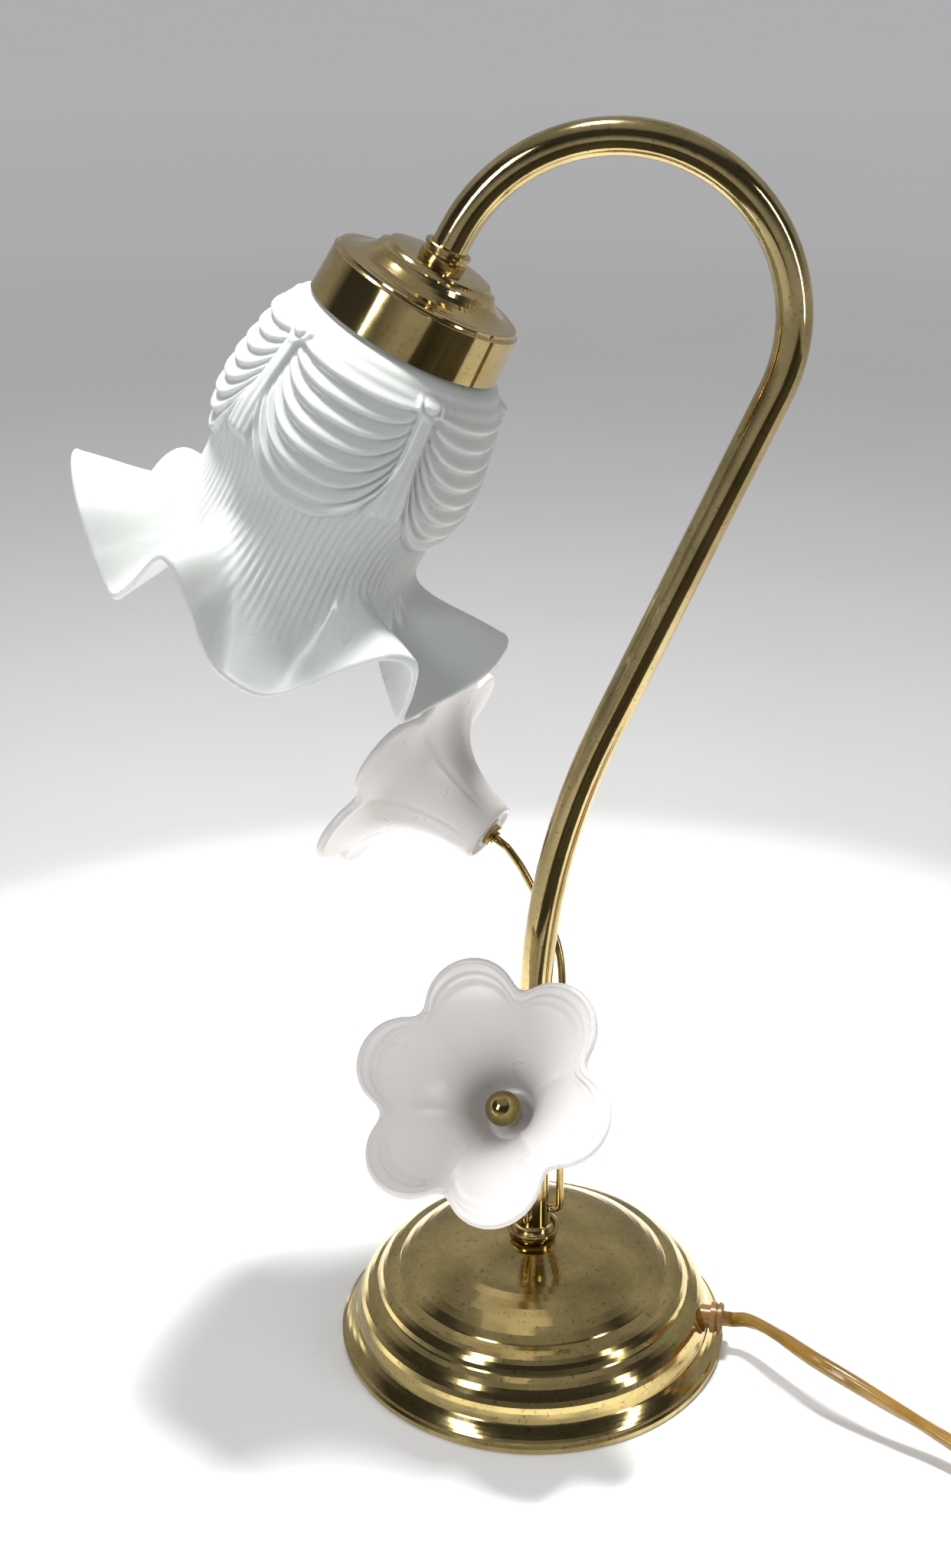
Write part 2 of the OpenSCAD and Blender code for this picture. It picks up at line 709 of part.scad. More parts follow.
module centre_contact() {
    color("gold")
        in_head(core_floor_s) cylinder(r = 3, h = bulb_tip_s - core_floor_s - 0.1);
}

module shade_washer() {
    color("gray")
        in_head(shade_washer_s) ring(shade_ring_r, holder_r + fit, shade_washer_t);
}

module shade_ring() {
    color("ivory")
        in_head(shade_ring_s) {
            ring(shade_ring_r, holder_r + fit, 2);
            translate([0, 0, 2]) ring(holder_r + 2.4, holder_r + fit, 5);
        }
}

// ================= shade =================
knot_a = 316;                            // one knot's direction round the axis
swag_half = 180 / swags;
knot_s = shade_s + 13;                   // where the swags hang from
// the crimped rim: direction round the axis, swing outwards and drop along the axis, both from -1 to 1
rim_waves = [[20, -0.5, 0.8], [50, 0.6, -0.15], [85, -0.7, 0.9], [115, 0.7, -0.6], [150, -0.5, 0.5],
    [176, 0.85, -1], [194, 1.05, -1.1], [200, 0.85, -0.4], [206, 0.45, 0.2], [211, 0.15, 0.65],
    [220, 0.45, -0.1], [229, 0.75, -0.8], [235, 0.45, -0.75], [240, -0.1, -0.2], [245, -0.7, 0.5],
    [255, -1, 1.05], [270, -0.85, 1], [279, -0.55, 0.7], [288, -0.1, 0.05], [297, 0.25, -0.5],
    [304, -0.1, -0.3], [312, -0.45, 0.55], [318, -0.5, 0.95], [326, 0, 0.55], [334, 0.6, -0.05],
    [350, 1, -0.6]];

// -1 to 1 across a swag, with the knots at both ends
function across(a) = ((a - knot_a + 20 * swag_half) % (2 * swag_half)) / swag_half - 1;
// full depth in the middle of a swag, gathered to a narrow bunch at its knots
function hang(a) = let (x = across(a)) 0.3 + 0.7 * sqrt(1 - pow(x, 4));

folds = 7;
fold_rows = 2 * folds + 1;
// the glass body under and over the drape
function body_r(s) = let (
        f = (s - knot_s) / swag_h,
        full = smooth_step(f / 0.5) * (1 - smooth_step((f - 0.72) / 0.32)))
    waist_d / 2 + 1 - smooth_step(f / 1.3) + (swag_d - waist_d - 3) / 2 * full;
function knot_lift(a, s) = let (
        x = 1 - abs(across(a)),
        w = x * swag_half * waist_d * PI / 360)
    1.8 * exp(-pow(w / 3, 2)) * exp(-pow((s - knot_s) / 3.4, 2))
        + 1.1 * exp(-pow(w / 2.4, 2)) * smooth_step((s - knot_s) / 6) * (1 - smooth_step((s - knot_s - 24) / 14));

function drape_point(a, k) = let (
        q = k / (fold_rows - 1),
        s = knot_s + q * swag_h * hang(a),
        fold = k % 2 == 1 ? 1 : -0.6)
    [body_r(s) + 0.9 * fold * smooth_step((hang(a) - 0.3) / 0.25) + knot_lift(a, s), s];

// a crimp's place in the list, counted on past its end, as many turns on as needed
function crimp(i) = rim_waves[(i + len(rim_waves)) % len(rim_waves)]
    + [360 * floor(i / len(rim_waves)), 0, 0];
// swing and drop in a direction, on a smooth curve through the crimps
function rim_wave(a) = let (
        first = rim_waves[0].x,
        b = (a - first + 720) % 360 + first,
        i = len([for (w = rim_waves) if (w.x <= b) 1]) - 1,
        p = [for (j = [-1:2]) crimp(i + j)],
        w = p[2].x - p[1].x,
        t = (b - p[1].x) / w,
        m1 = (p[2] - p[0]) * w / (p[2].x - p[0].x),
        m2 = (p[3] - p[1]) * w / (p[3].x - p[1].x),
        v = (2 * t * t * t - 3 * t * t + 1) * p[1] + (t * t * t - 2 * t * t + t) * m1
            + (3 * t * t - 2 * t * t * t) * p[2] + (t * t * t - t * t) * m2)
    [v.y, v.z];
function rim_point(a) = let (v = rim_wave(a)) [rim_d / 2 + rim_swing * v.x, rim_s + rim_drop * v.y];
// the flare from the waist to the rim, with f from 0 to 1
waist_s = knot_s + swag_h + 5;
function flare_point(a, f) = let (
        u = 1 - f,
        drop = rim_wave(a).y,
        p = [waist_d / 2, waist_s],
        q = p + [-0.6, 7 + 6 * drop],
        e = rim_point(a),
        c = [lerp(p.x, e.x, 0.42), lerp(waist_s, e.y, 0.72) + 1 + 4 * drop])
    u * u * u * p + 3 * u * u * f * q + 3 * u * f * f * c + f * f * f * e;
function flare_side(a, f) = let (d = flare_point(a, f + 0.01) - flare_point(a, f - 0.01))
    unit([-d.y, d.x]);

function shade_loop(a) = let (
        neck = neck_d / 2,
        lip = rim_point(a),
        side = flare_side(a, 1),
        out = [side.y, -side.x])
    concat([[shade_hole_r, shade_s], [neck - 1.6, shade_s], [neck, shade_s + 1.6],
            [neck, shade_s + 6.4], [neck + 4.6, shade_s + 9]],
        [for (k = [0:fold_rows - 1]) drape_point(a, k)],
        [[waist_d / 2 + 0.2, waist_s - 1]],
        [for (f = [0.2, 0.4, 0.6, 0.8, 0.95]) flare_point(a, f)],
        [lip + 0.4 * out + 0.5 * glass_t * side],
        [for (f = [0.93, 0.75, 0.5, 0.25]) flare_point(a, f) + glass_t * flare_side(a, f)],
        [[waist_d / 2 - glass_t, waist_s - 2]],
        [for (f = [0.8, 0.6, 0.4, 0.2]) let (s = knot_s + f * swag_h) [body_r(s) - glass_t - 0.8, s]],
        [[waist_d / 2 - glass_t, knot_s + 2], [neck + 1.4, shade_s + 11], [neck - glass_t, shade_s + 7.4],
            [neck - glass_t, shade_s + glass_t + 1.2], [neck - glass_t - 1.2, shade_s + glass_t],
            [shade_hole_r, shade_s + glass_t]]);

module shade() {
    steps = swags * 22;
    color([0.9, 0.92, 0.92])
        in_head() ring_loft([for (i = [0:steps - 1]) let (a = knot_a + 360 * i / steps)
            [for (p = shade_loop(a)) [p.x * cos(a), p.x * sin(a), p.y]]]);
}

// ================= bulb =================
module bulb_tip() {
    color("silver")
        in_head(bulb_tip_s) cylinder(r = 2.4, h = 1);
}

module bulb_insulator() {
    color("black")
        in_head(bulb_tip_s + 1) cylinder(r1 = 3.2, r2 = 6.2, h = bulb_cap_s - bulb_tip_s - 1);
}

module bulb_cap() {
    color("silver")
        in_head() rotate_extrude()
            polygon([[0, bulb_cap_s], [bulb_thread_r, bulb_cap_s], [bulb_thread_r, bulb_neck_s - 1],
                [8.4, bulb_neck_s - 1 + 0.6], [8.4, bulb_neck_s], [0, bulb_neck_s]]);
}

// the globe's outline from its neck to its pole, drawn inwards by t
function globe_outline(t) = let (r = bulb_d / 2 - t)
    concat([[8 - t, bulb_neck_s], [8.4 - t, bulb_neck_s + 3], [9.5 - t, bulb_neck_s + 6]],
        bulge([10.6 - t, bulb_neck_s + 7.5], [r * sin(50), bulb_c_s - r * cos(50)], 0.4, 4),
        [for (a = [56:6:180]) [r * sin(a), bulb_c_s - r * cos(a)]]);

module bulb_glass() {
    color([1, 1, 0.95])
        in_head() rotate_extrude()
            polygon(concat(globe_outline(0), flip(globe_outline(bulb_wall))));
}

// ================= free cord =================
function coil_part(u) = let (
        span = layer_turns + climb_turns,
        k = min(floor(u / span + 0.0001), coil_layers - 1),
        v = u - k * span,
        f = min(v, layer_turns) / layer_turns,
        depth = coil_step * layer_turns,
        inward = k % 2 == 0 ? f : 1 - f,
        climb = v > layer_turns ? (v - layer_turns) / climb_turns : 0)
    [coil_r - depth * inward, (k + climb) * coil_step];
function coil_point(i) = let (
        u = i / loop_rings,
        p = coil_part(u),
        a = 360 * u)
    [coil_x + p.x * cos(a), coil_y + p.x * sin(a), coil_z + p.y];
coil_path = concat([coil_entry - stub],
    [for (i = [0:coil_turns * loop_rings]) coil_point(i)], [coil_top + stub]);

// least distance between parts of the coil that lie half a loop or more apart
coil_gap = min([for (i = [0:len(coil_path) - 1], j = [i + loop_rings / 2:1:len(coil_path) - 1])
    norm(coil_path[i] - coil_path[j])]) - cord_d;
echo(coil_gap = coil_gap, cord_length = path_length(run_points) + path_length(link_points)
    + path_length(coil_path) + path_length(tail_points) + switch_l);

cord_color = [0.6, 0.4, 0.12];

module cord_run() {
    color(cord_color) sweep(soft_route(run_points, 2), cord_d, 10);
}

module cord_link() {
    color(cord_color) sweep(soft_route(link_points, 2), cord_d, 10);
}

module cord_coil() {
    color(cord_color) sweep(coil_path, cord_d, 6);
}

module cord_tail() {
    color(cord_color) sweep(soft_route(tail_points, 2), cord_d, 10);
}

// ---- in-line switch ----
switch_split = 8.6;
rocker_l = 20;
rocker_w = 9;
pivot_z = 12.4;
rocker_tilt = 8;

module in_switch() {
    translate([switch_x + switch_l / 2, switch_y, 0]) children();
}

module screw_places() {
    for (x = [-1, 1])
        translate([x * (switch_l / 2 - 9), 0, 0]) children();
}

module switch_lower() {
    color([0.35, 0.22, 0.1])
        in_switch() difference() {
            rounded_slab(switch_l, switch_w, 9, switch_split);
            translate([0, 0, 3]) rounded_slab(switch_l - 26, switch_w - 5, 3, switch_split);
            screw_places() translate([0, 0, -1]) cylinder(r = 1.5 + fit, h = switch_split + 2);
            screw_places() translate([0, 0, -1]) cylinder(r = 3 + fit, h = 3.2);
        }
}

module switch_upper() {
    color([0.35, 0.22, 0.1])
        in_switch() difference() {
            union() {
                translate([0, 0, switch_split])
                    rounded_slab(switch_l, switch_w, 9, switch_h - switch_split - 2);
                translate([0, 0, switch_h - 2]) rounded_slab(switch_l - 3, switch_w - 3, 7.5, 2);
            }
            translate([0, 0, switch_split + (switch_h - switch_split) / 2])
                cube([rocker_l + 0.8, rocker_w + 0.6, switch_h], center = true);
            translate([0, (rocker_w + 4) / 2, pivot_z]) rotate([90, 0, 0])
                cylinder(r = 1.2 + fit, h = rocker_w + 4);
            screw_places() translate([0, 0, switch_split - 1]) cylinder(r = 1.5 + fit, h = 5);
        }
}

module switch_rocker() {
    color("black")
        in_switch() translate([0, 0, pivot_z]) rotate([0, rocker_tilt, 0]) {
            rotate([90, 0, 0]) translate([0, 0, -rocker_w / 2]) linear_extrude(rocker_w)
                polygon([[-9.4, 4.4], [0, 5.6], [9.4, 4.4], [9.2, 0], [4, -3], [-4, -3], [-9.2, 0]]);
            rotate([90, 0, 0]) translate([0, 0, -(rocker_w + 3.4) / 2])
                cylinder(r = 1.2, h = rocker_w + 3.4);
        }
}

module switch_screws() {
    color("silver")
        in_switch() screw_places() {
            translate([0, 0, 0.6]) cylinder(r = 3, h = 1.6);
            translate([0, 0, 2.2]) cylinder(r = 1.5, h = 9);
        }
}

// ---- plug, lying flat with its pins along +Y ----
pin_r = 2;
shank_r = 1.7;                          // the pin's shank inside the plug
pin_l = 19;
pin_gap = 18.6;
sleeve_l = 12;

module in_plug() {
    translate([tail_end.x, plug_y, plug_z]) rotate([0, 0, 90]) children();
}

module plug_body() {
    color([0.35, 0.22, 0.1])
        in_plug() difference() {
            union() {
                rotate([0, 90, 0]) rotate_extrude()
                    polygon(concat([[0, 0], [3.6, 0]], [for (i = [0:3]) each
                        [[4.6, 1 + i * 2.6], [4.6, 2.4 + i * 2.6], [3.9, 2.7 + i * 2.6], [3.9, 3.3 + i * 2.6]]],
                        [[5.2, sleeve_l], [5.2, sleeve_l + 3], [0, sleeve_l + 3]]));
                translate([sleeve_l, 0, -plug_t / 2]) linear_extrude(plug_t)
                    polygon([[0, -7], [plug_l - 22, -plug_w / 2], [plug_l - 3, -plug_w / 2],
                        [plug_l, -plug_w / 2 + 3], [plug_l, plug_w / 2 - 3], [plug_l - 3, plug_w / 2],
                        [plug_l - 22, plug_w / 2], [0, 7]]);
            }
            for (y = [-1, 1])
                translate([sleeve_l + plug_l - 8, y * pin_gap / 2, 0]) rotate([0, 90, 0])
                    cylinder(r = shank_r + fit, h = 10);
        }
}

module plug_pins() {
    color("silver")
        in_plug() for (y = [-1, 1])
            translate([sleeve_l + plug_l - 8, y * pin_gap / 2, 0]) rotate([0, 90, 0]) {
                cylinder(r = shank_r, h = 9);
                translate([0, 0, 8.5]) cylinder(r = pin_r, h = pin_l - 1.5);
                translate([0, 0, pin_l + 7]) cylinder(r1 = pin_r, r2 = pin_r - 1, h = 1);
            }
}

felt_pad();
base_shell();
base_weight();
foot_washer();
foot_nut();
foot_nipple();
cord_gland();
gland_nut();
stem_collar();
stem_tube();
inner_lead();
stalk_front();
stalk_upper();
seat_front();
seat_upper();
washer_front();
washer_upper();
flower_front();
flower_upper();
finial_front();
finial_upper();
head_collar();
gallery_cap();
head_washer();
head_nut();
head_nipple();
holder_cap();
holder_body();
holder_core();
terminal_screws();
screw_shell();
centre_contact();
shade_washer();
shade_ring();
shade();
bulb_tip();
bulb_insulator();
bulb_cap();
bulb_glass();
cord_run();
cord_link();
cord_coil();
cord_tail();
switch_lower();
switch_upper();
switch_rocker();
switch_screws();
plug_body();
plug_pins();
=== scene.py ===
import bpy
import math
from functools import lru_cache
from mathutils import Matrix, Vector


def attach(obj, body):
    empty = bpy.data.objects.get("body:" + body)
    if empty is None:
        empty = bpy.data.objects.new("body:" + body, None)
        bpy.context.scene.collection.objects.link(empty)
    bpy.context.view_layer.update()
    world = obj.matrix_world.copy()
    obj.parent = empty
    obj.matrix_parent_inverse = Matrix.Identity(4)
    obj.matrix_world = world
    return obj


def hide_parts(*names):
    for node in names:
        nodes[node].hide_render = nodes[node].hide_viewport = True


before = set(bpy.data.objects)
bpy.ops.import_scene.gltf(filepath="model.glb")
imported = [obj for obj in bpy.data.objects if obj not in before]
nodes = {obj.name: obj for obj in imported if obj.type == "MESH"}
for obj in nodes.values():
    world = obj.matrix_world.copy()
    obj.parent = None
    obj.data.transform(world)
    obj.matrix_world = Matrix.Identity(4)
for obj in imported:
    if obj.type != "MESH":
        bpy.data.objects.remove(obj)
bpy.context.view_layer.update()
MM = 0.001


def lerp(a, b, t):
    return a + (b - a) * t


def smooth(t):
    t = min(max(t, 0.0), 1.0)
    return t * t * (3 - 2 * t)


def cosd(a):
    return math.cos(math.radians(a))


def sind(a):
    return math.sin(math.radians(a))


# ---------------------------------------------------------------- camera
# the photograph's view, worked out from the base's circles and the stem's arc; the place is in metres
CAMERA_AT = (0.0252, -0.6795, 0.5447)
CAMERA_LOOK = (-0.0627, 0.908, -0.4143)
CAMERA_RIGHT = (0.9977, 0.0674, -0.0033)
CAMERA_LENS, CAMERA_SENSOR = 48.81, 36

camera_data = bpy.data.cameras.new("camera")
camera_data.sensor_fit = "VERTICAL"
camera_data.sensor_height = CAMERA_SENSOR
camera_data.lens = CAMERA_LENS
camera_data.clip_start = 0.01
camera = bpy.data.objects.new("camera", camera_data)
bpy.context.scene.collection.objects.link(camera)
look = Vector(CAMERA_LOOK).normalized()
right = Vector(CAMERA_RIGHT).normalized()
up = right.cross(look).normalized()
right = look.cross(up)
camera.matrix_world = Matrix([(right[i], up[i], -look[i], CAMERA_AT[i]) for i in range(3)] + [(0, 0, 0, 1)])
bpy.context.scene.camera = camera
bpy.context.scene.view_settings.view_transform = "Standard"


# ---------------------------------------------------------------- mesh helpers
def make(name, points, faces, material):
    """Smooth mesh object from points in millimetres."""
    mesh = bpy.data.meshes.new(name)
    mesh.from_pydata([tuple(c * MM for c in p) for p in points], [], faces)
    mesh.validate()
    mesh.polygons.foreach_set("use_smooth", [True] * len(mesh.polygons))
    mesh.update()
    thing = bpy.data.objects.new(name, mesh)
    bpy.context.scene.collection.objects.link(thing)
    mesh.materials.append(material)
    return thing


def loft(name, rows, material, closed_rows=True):
    """Rings of points joined into a skin; closed_rows joins the last ring to the first."""
    n, m = len(rows), len(rows[0])
    points = [p for row in rows for p in row]
    faces = []
    for i in range(n if closed_rows else n - 1):
        j = (i + 1) % n
        for k in range(m):
            l = (k + 1) % m
            faces.append((i * m + k, j * m + k, j * m + l, i * m + l))
    return make(name, points, faces, material)


def spline(p, n):
    """Catmull-Rom curve through points, n steps between two of them."""
    out = []
    for i in range(len(p) - 1):
        a, b, c, d = p[max(i - 1, 0)], p[i], p[i + 1], p[min(i + 2, len(p) - 1)]
        for k in range(n):
            t = k / n
            out.append((2 * b + (c - a) * t + (2 * a - 5 * b + 4 * c - d) * t * t
                        + (3 * b - a - 3 * c + d) * t ** 3) * 0.5)
    return out + [p[-1]]


def soft_route(p, n):
    """The same, with the first and the last stretch left straight."""
    return [p[0]] + spline(p[1:-1], n) + [p[-1]]


def bezier(p, t):
    """Point on the curve with the four control points p."""
    u = 1 - t
    weights = (u ** 3, 3 * u * u * t, 3 * u * t * t, t ** 3)
    return sum((w * q for w, q in zip(weights, p)), Vector((0, 0)))


def tube_rows(path, section, first, twist=0.0):
    """Rings along a path. section lists the outline's (x, y), twist turns it in radians per millimetre."""
    normal = Vector(first)
    rows, run = [], 0.0
    for i, p in enumerate(path):
        way = (path[min(i + 1, len(path) - 1)] - path[max(i - 1, 0)]).normalized()
        normal = (normal - normal.dot(way) * way).normalized()
        side = way.cross(normal)
        if i:
            run += (p - path[i - 1]).length
        c, s = math.cos(twist * run), math.sin(twist * run)
        rows.append([p + (x * c - y * s) * normal + (x * s + y * c) * side for x, y in section])
    return rows


def tube(name, path, section, first, material, twist=0.0):
    """Tube along a path, with a flat face at each end."""
    rows = tube_rows(path, section, first, twist)
    thing = loft(name, rows, material, closed_rows=False)
    mesh = thing.data
    m, n = len(section), len(rows)
    points = [tuple(v.co) for v in mesh.vertices]
    faces = [tuple(f.vertices) for f in mesh.polygons]
    faces += [tuple(range(m - 1, -1, -1)), tuple(range((n - 1) * m, n * m))]
    mesh.clear_geometry()
    mesh.from_pydata(points, [], faces)
    mesh.polygons.foreach_set("use_smooth", [True] * (len(faces) - 2) + [False] * 2)
    mesh.update()
    return thing


def circle(r, n):
    """Outline of a round tube."""
    return [(r * math.cos(2 * math.pi * k / n), r * math.sin(2 * math.pi * k / n)) for k in range(n)]


# ---------------------------------------------------------------- materials
class Nodes:
    """Small builder for a material's nodes."""

    def __init__(self, name):
        self.material = bpy.data.materials.new(name)
        self.material.use_nodes = True
        self.tree = self.material.node_tree
        self.shader = self.tree.nodes["Principled BSDF"]

    def add(self, kind, inputs=None, **settings):
        node = self.tree.nodes.new(kind)
        for k, v in settings.items():
            setattr(node, k, v)
        for k, v in (inputs or {}).items():
            if hasattr(v, "is_output"):
                self.tree.links.new(v, node.inputs[k])
            else:
                node.inputs[k].default_value = v
        return node

    def place(self):
        return self.add("ShaderNodeTexCoord").outputs["Object"]

    def noise(self, scale, detail=4.0, rough=0.6, at=None, distort=0.0):
        return self.add("ShaderNodeTexNoise", {"Vector": at or self.place(), "Scale": scale, "Detail": detail,
                                               "Roughness": rough, "Distortion": distort}).outputs["Fac"]

    def ramp(self, fac, stops):
        node = self.add("ShaderNodeValToRGB", {"Fac": fac})
        while len(node.color_ramp.elements) < len(stops):
            node.color_ramp.elements.new(0.5)
        for e, (p, c) in zip(node.color_ramp.elements, stops):
            e.position = p
            e.color = (*c, 1)
        return node.outputs["Color"]

    def stretch(self, scale):
        return self.add("ShaderNodeMapping", {"Vector": self.place(), "Scale": scale}).outputs["Vector"]

    def mix(self, fac, a, b, mode="MIX"):
        node = self.add("ShaderNodeMix", data_type="RGBA", blend_type=mode)
        for slot_index, v in ((0, fac), (6, a), (7, b)):
            if hasattr(v, "is_output"):
                self.tree.links.new(v, node.inputs[slot_index])
            else:
                node.inputs[slot_index].default_value = v if slot_index == 0 else (*v, 1)
        return node.outputs[2]

    def math(self, op, a, b=0.0):
        return self.add("ShaderNodeMath", {0: a, 1: b}, operation=op).outputs[0]

    def bump(self, height, strength=0.2, distance=0.0005):
        node = self.add("ShaderNodeBump", {"Height": height, "Strength": strength, "Distance": distance})
        self.set(Normal=node.outputs["Normal"])

    def set(self, **values):
        names = {"color": "Base Color", "metallic": "Metallic", "roughness": "Roughness", "ior": "IOR",
                 "transmission": "Transmission Weight", "subsurface": "Subsurface Weight",
                 "scatter": "Subsurface Radius", "scatter_scale": "Subsurface Scale", "coat": "Coat Weight",
                 "coat_roughness": "Coat Roughness", "sheen": "Sheen Weight",
                 "specular": "Specular IOR Level", "Normal": "Normal"}
        for k, v in values.items():
            socket = self.shader.inputs[names[k]]
            if hasattr(v, "is_output"):
                self.tree.links.new(v, socket)
            elif k == "color":
                socket.default_value = (*v, 1)
            else:
                socket.default_value = v


def brass(name, bright, deep, shine=0.12, lines=None, specks=0.5):
    """Polished brass with cloudy tarnish, small dark specks and fine machining lines."""
    m = Nodes(name)
    cloud = m.noise(38, 5, 0.62, distort=0.4)
    speck = m.ramp(m.noise(620, 3, 0.7), [(0.34, (1, 1, 1)), (0.40, (0, 0, 0))])
    tone = m.ramp(cloud, [(0.32, deep), (0.62, bright)])
    spotted = m.mix(m.math("MULTIPLY", speck, specks), tone, tuple(c * 0.42 for c in deep))
    m.set(color=spotted, metallic=1.0)
    rough = m.ramp(m.noise(90, 4, 0.6), [(0.3, (shine,) * 3), (0.75, (shine * 1.8,) * 3)])
    m.set(roughness=rough)
    scratch = m.noise(1.0, 2, 0.5, at=m.stretch(lines or (260, 260, 2600)))
    dents = m.noise(26, 2, 0.5)
    m.bump(m.math("ADD", m.math("MULTIPLY", scratch, 0.12), dents), 0.035, 0.0005)
    return m.material


def satin_glass(name, tint, cloudy, clear, grain=900):
    """Pressed white glass with an acid-etched skin: cloudy, with light coming through."""
    m = Nodes(name)
    haze = m.ramp(m.noise(22, 3, 0.5), [(0.3, tuple(c * 0.95 for c in tint)), (0.7, tint)])
    m.set(color=haze)
    m.set(roughness=m.ramp(m.noise(60, 4, 0.6), [(0.3, (0.26,) * 3), (0.8, (0.40,) * 3)]))
    m.set(transmission=clear, ior=1.46, subsurface=cloudy, scatter_scale=0.004, specular=0.5)
    m.set(scatter=(1.0, 1.0, 1.0), coat=0.15, coat_roughness=0.22)
    m.bump(m.noise(grain, 3, 0.7), 0.10, 0.0003)
    return m.material


def plastic(name, bright, deep, rough=0.3, clear=0.0, grain=700):
    """Moulded plastic, rubber or glaze, with slight changes of tone and a fine grain."""
    m = Nodes(name)
    m.set(color=m.ramp(m.noise(45, 4, 0.6), [(0.3, deep), (0.7, bright)]))
    m.set(roughness=m.ramp(m.noise(120, 4, 0.6), [(0.3, (rough * 0.8,) * 3), (0.8, (rough * 1.4,) * 3)]))
    m.set(transmission=clear, ior=1.5)
    m.bump(m.noise(grain, 3, 0.6), 0.15, 0.0002)
    return m.material


def plain_metal(name, bright, deep, rough=0.3):
    """Plated or cast metal with fine level lines."""
    m = Nodes(name)
    m.set(color=m.ramp(m.noise(80, 4, 0.6), [(0.3, deep), (0.7, bright)]), metallic=1.0)
    m.set(roughness=m.ramp(m.noise(160, 4, 0.6), [(0.3, (rough * 0.8,) * 3), (0.8, (rough * 1.5,) * 3)]))
    m.bump(m.noise(1.0, 2, 0.5, at=m.stretch((400, 400, 3000))), 0.12, 0.0002)
    return m.material


# machining lines: round the base's axis, and along the straight foot of the stem
ROUND_LINES, LONG_LINES = (120, 120, 3200), (900, 900, 60)
brass_base = brass("polished_brass_base", (0.58, 0.45, 0.19), (0.38, 0.30, 0.12), 0.085, ROUND_LINES, 0.7)
brass_stem = brass("polished_brass_stem", (0.56, 0.44, 0.21), (0.40, 0.32, 0.14), 0.07, LONG_LINES, 0.6)
brass_trim = brass("turned_brass_trim", (0.52, 0.39, 0.16), (0.34, 0.25, 0.09), 0.11)
brass_gallery = brass("polished_brass_gallery", (0.62, 0.48, 0.22), (0.48, 0.36, 0.15), 0.06, None, 0.4)
brass_ball = brass("polished_brass_ball", (0.54, 0.43, 0.17), (0.38, 0.30, 0.11), 0.08)
brass_plain = brass("plain_brass", (0.76, 0.58, 0.29), (0.58, 0.42, 0.19), 0.2)
shade_glass = satin_glass("etched_shade_glass", (0.66, 0.685, 0.67), 0.5, 0.2)
flower_glass = satin_glass("etched_flower_glass", (0.80, 0.77, 0.755), 0.6, 0.15)
bulb_opal = satin_glass("opal_bulb_glass", (0.97, 0.97, 0.94), 0.7, 0.1, 300)
zinc = plain_metal("zinc_plate", (0.68, 0.69, 0.71), (0.5, 0.51, 0.53))
iron = plain_metal("cast_iron", (0.13, 0.13, 0.14), (0.07, 0.07, 0.08), 0.6)
aluminium = plain_metal("bulb_aluminium", (0.82, 0.82, 0.84), (0.66, 0.66, 0.69), 0.28)
nickel = plain_metal("nickel_pins", (0.78, 0.77, 0.73), (0.62, 0.61, 0.58), 0.16)
gland_brown = plastic("gland_plastic", (0.36, 0.20, 0.05), (0.20, 0.10, 0.025), 0.28, 0.3)
cord_gold = plastic("cord_plastic", (0.34, 0.19, 0.03), (0.20, 0.105, 0.015), 0.2, 0.05)
brown = plastic("brown_moulding", (0.15, 0.075, 0.028), (0.09, 0.045, 0.018), 0.3)
rocker_black = plastic("rocker_moulding", (0.03, 0.025, 0.02), (0.015, 0.012, 0.01), 0.28)
ivory = plastic("holder_moulding", (0.86, 0.82, 0.72), (0.78, 0.73, 0.62), 0.35)
porcelain = plastic("porcelain", (0.92, 0.91, 0.87), (0.86, 0.84, 0.79), 0.15)
lead_white = plastic("lead_cover", (0.74, 0.71, 0.62), (0.64, 0.61, 0.52), 0.35)
rubber_white = plastic("soft_washer", (0.84, 0.84, 0.80), (0.74, 0.74, 0.70), 0.6)
black_glass = plastic("bulb_insulator", (0.04, 0.04, 0.05), (0.02, 0.02, 0.025), 0.15)

MATERIAL_NODES = [
    (iron, ("base_weight",)),
    (brass_base, ("base_shell",)),
    (brass_stem, ("stem_tube",)),
    (brass_trim, ("stem_collar", "seat_front", "seat_upper", "head_collar")),
    (brass_gallery, ("gallery_cap",)),
    (brass_ball, ("finial_front", "finial_upper")),
    (brass_plain, ("terminal_screws", "screw_shell", "centre_contact")),
    (zinc, ("foot_washer", "foot_nut", "foot_nipple", "head_washer", "head_nut", "head_nipple",
            "shade_washer", "bulb_tip", "switch_screws")),
    (aluminium, ("bulb_cap",)),
    (nickel, ("plug_pins",)),
    (gland_brown, ("cord_gland", "gland_nut")),
    (brown, ("switch_lower", "switch_upper", "plug_body")),
    (rocker_black, ("switch_rocker",)),
    (ivory, ("holder_cap", "holder_body", "shade_ring")),
    (porcelain, ("holder_core",)),
    (lead_white, ("inner_lead",)),
    (rubber_white, ("washer_front", "washer_upper")),
    (black_glass, ("bulb_insulator",)),
    (bulb_opal, ("bulb_glass",)),
]
for material, covered in MATERIAL_NODES:
    for node in covered:
        mesh = nodes[node].data
        mesh.materials.clear()
        mesh.materials.append(material)

# ---------------------------------------------------------------- cords
GLAND_AZ = -8
GLAND_OUT = 75.3
SWITCH = Vector((180, -84.5, 8.5))
SWITCH_L = 60
gland_dir = Vector((cosd(GLAND_AZ), sind(GLAND_AZ), 0))
cord_start = GLAND_OUT * gland_dir + Vector((0, 0, 14.5))


def points_of(rows):
    return [Vector(r) for r in rows]


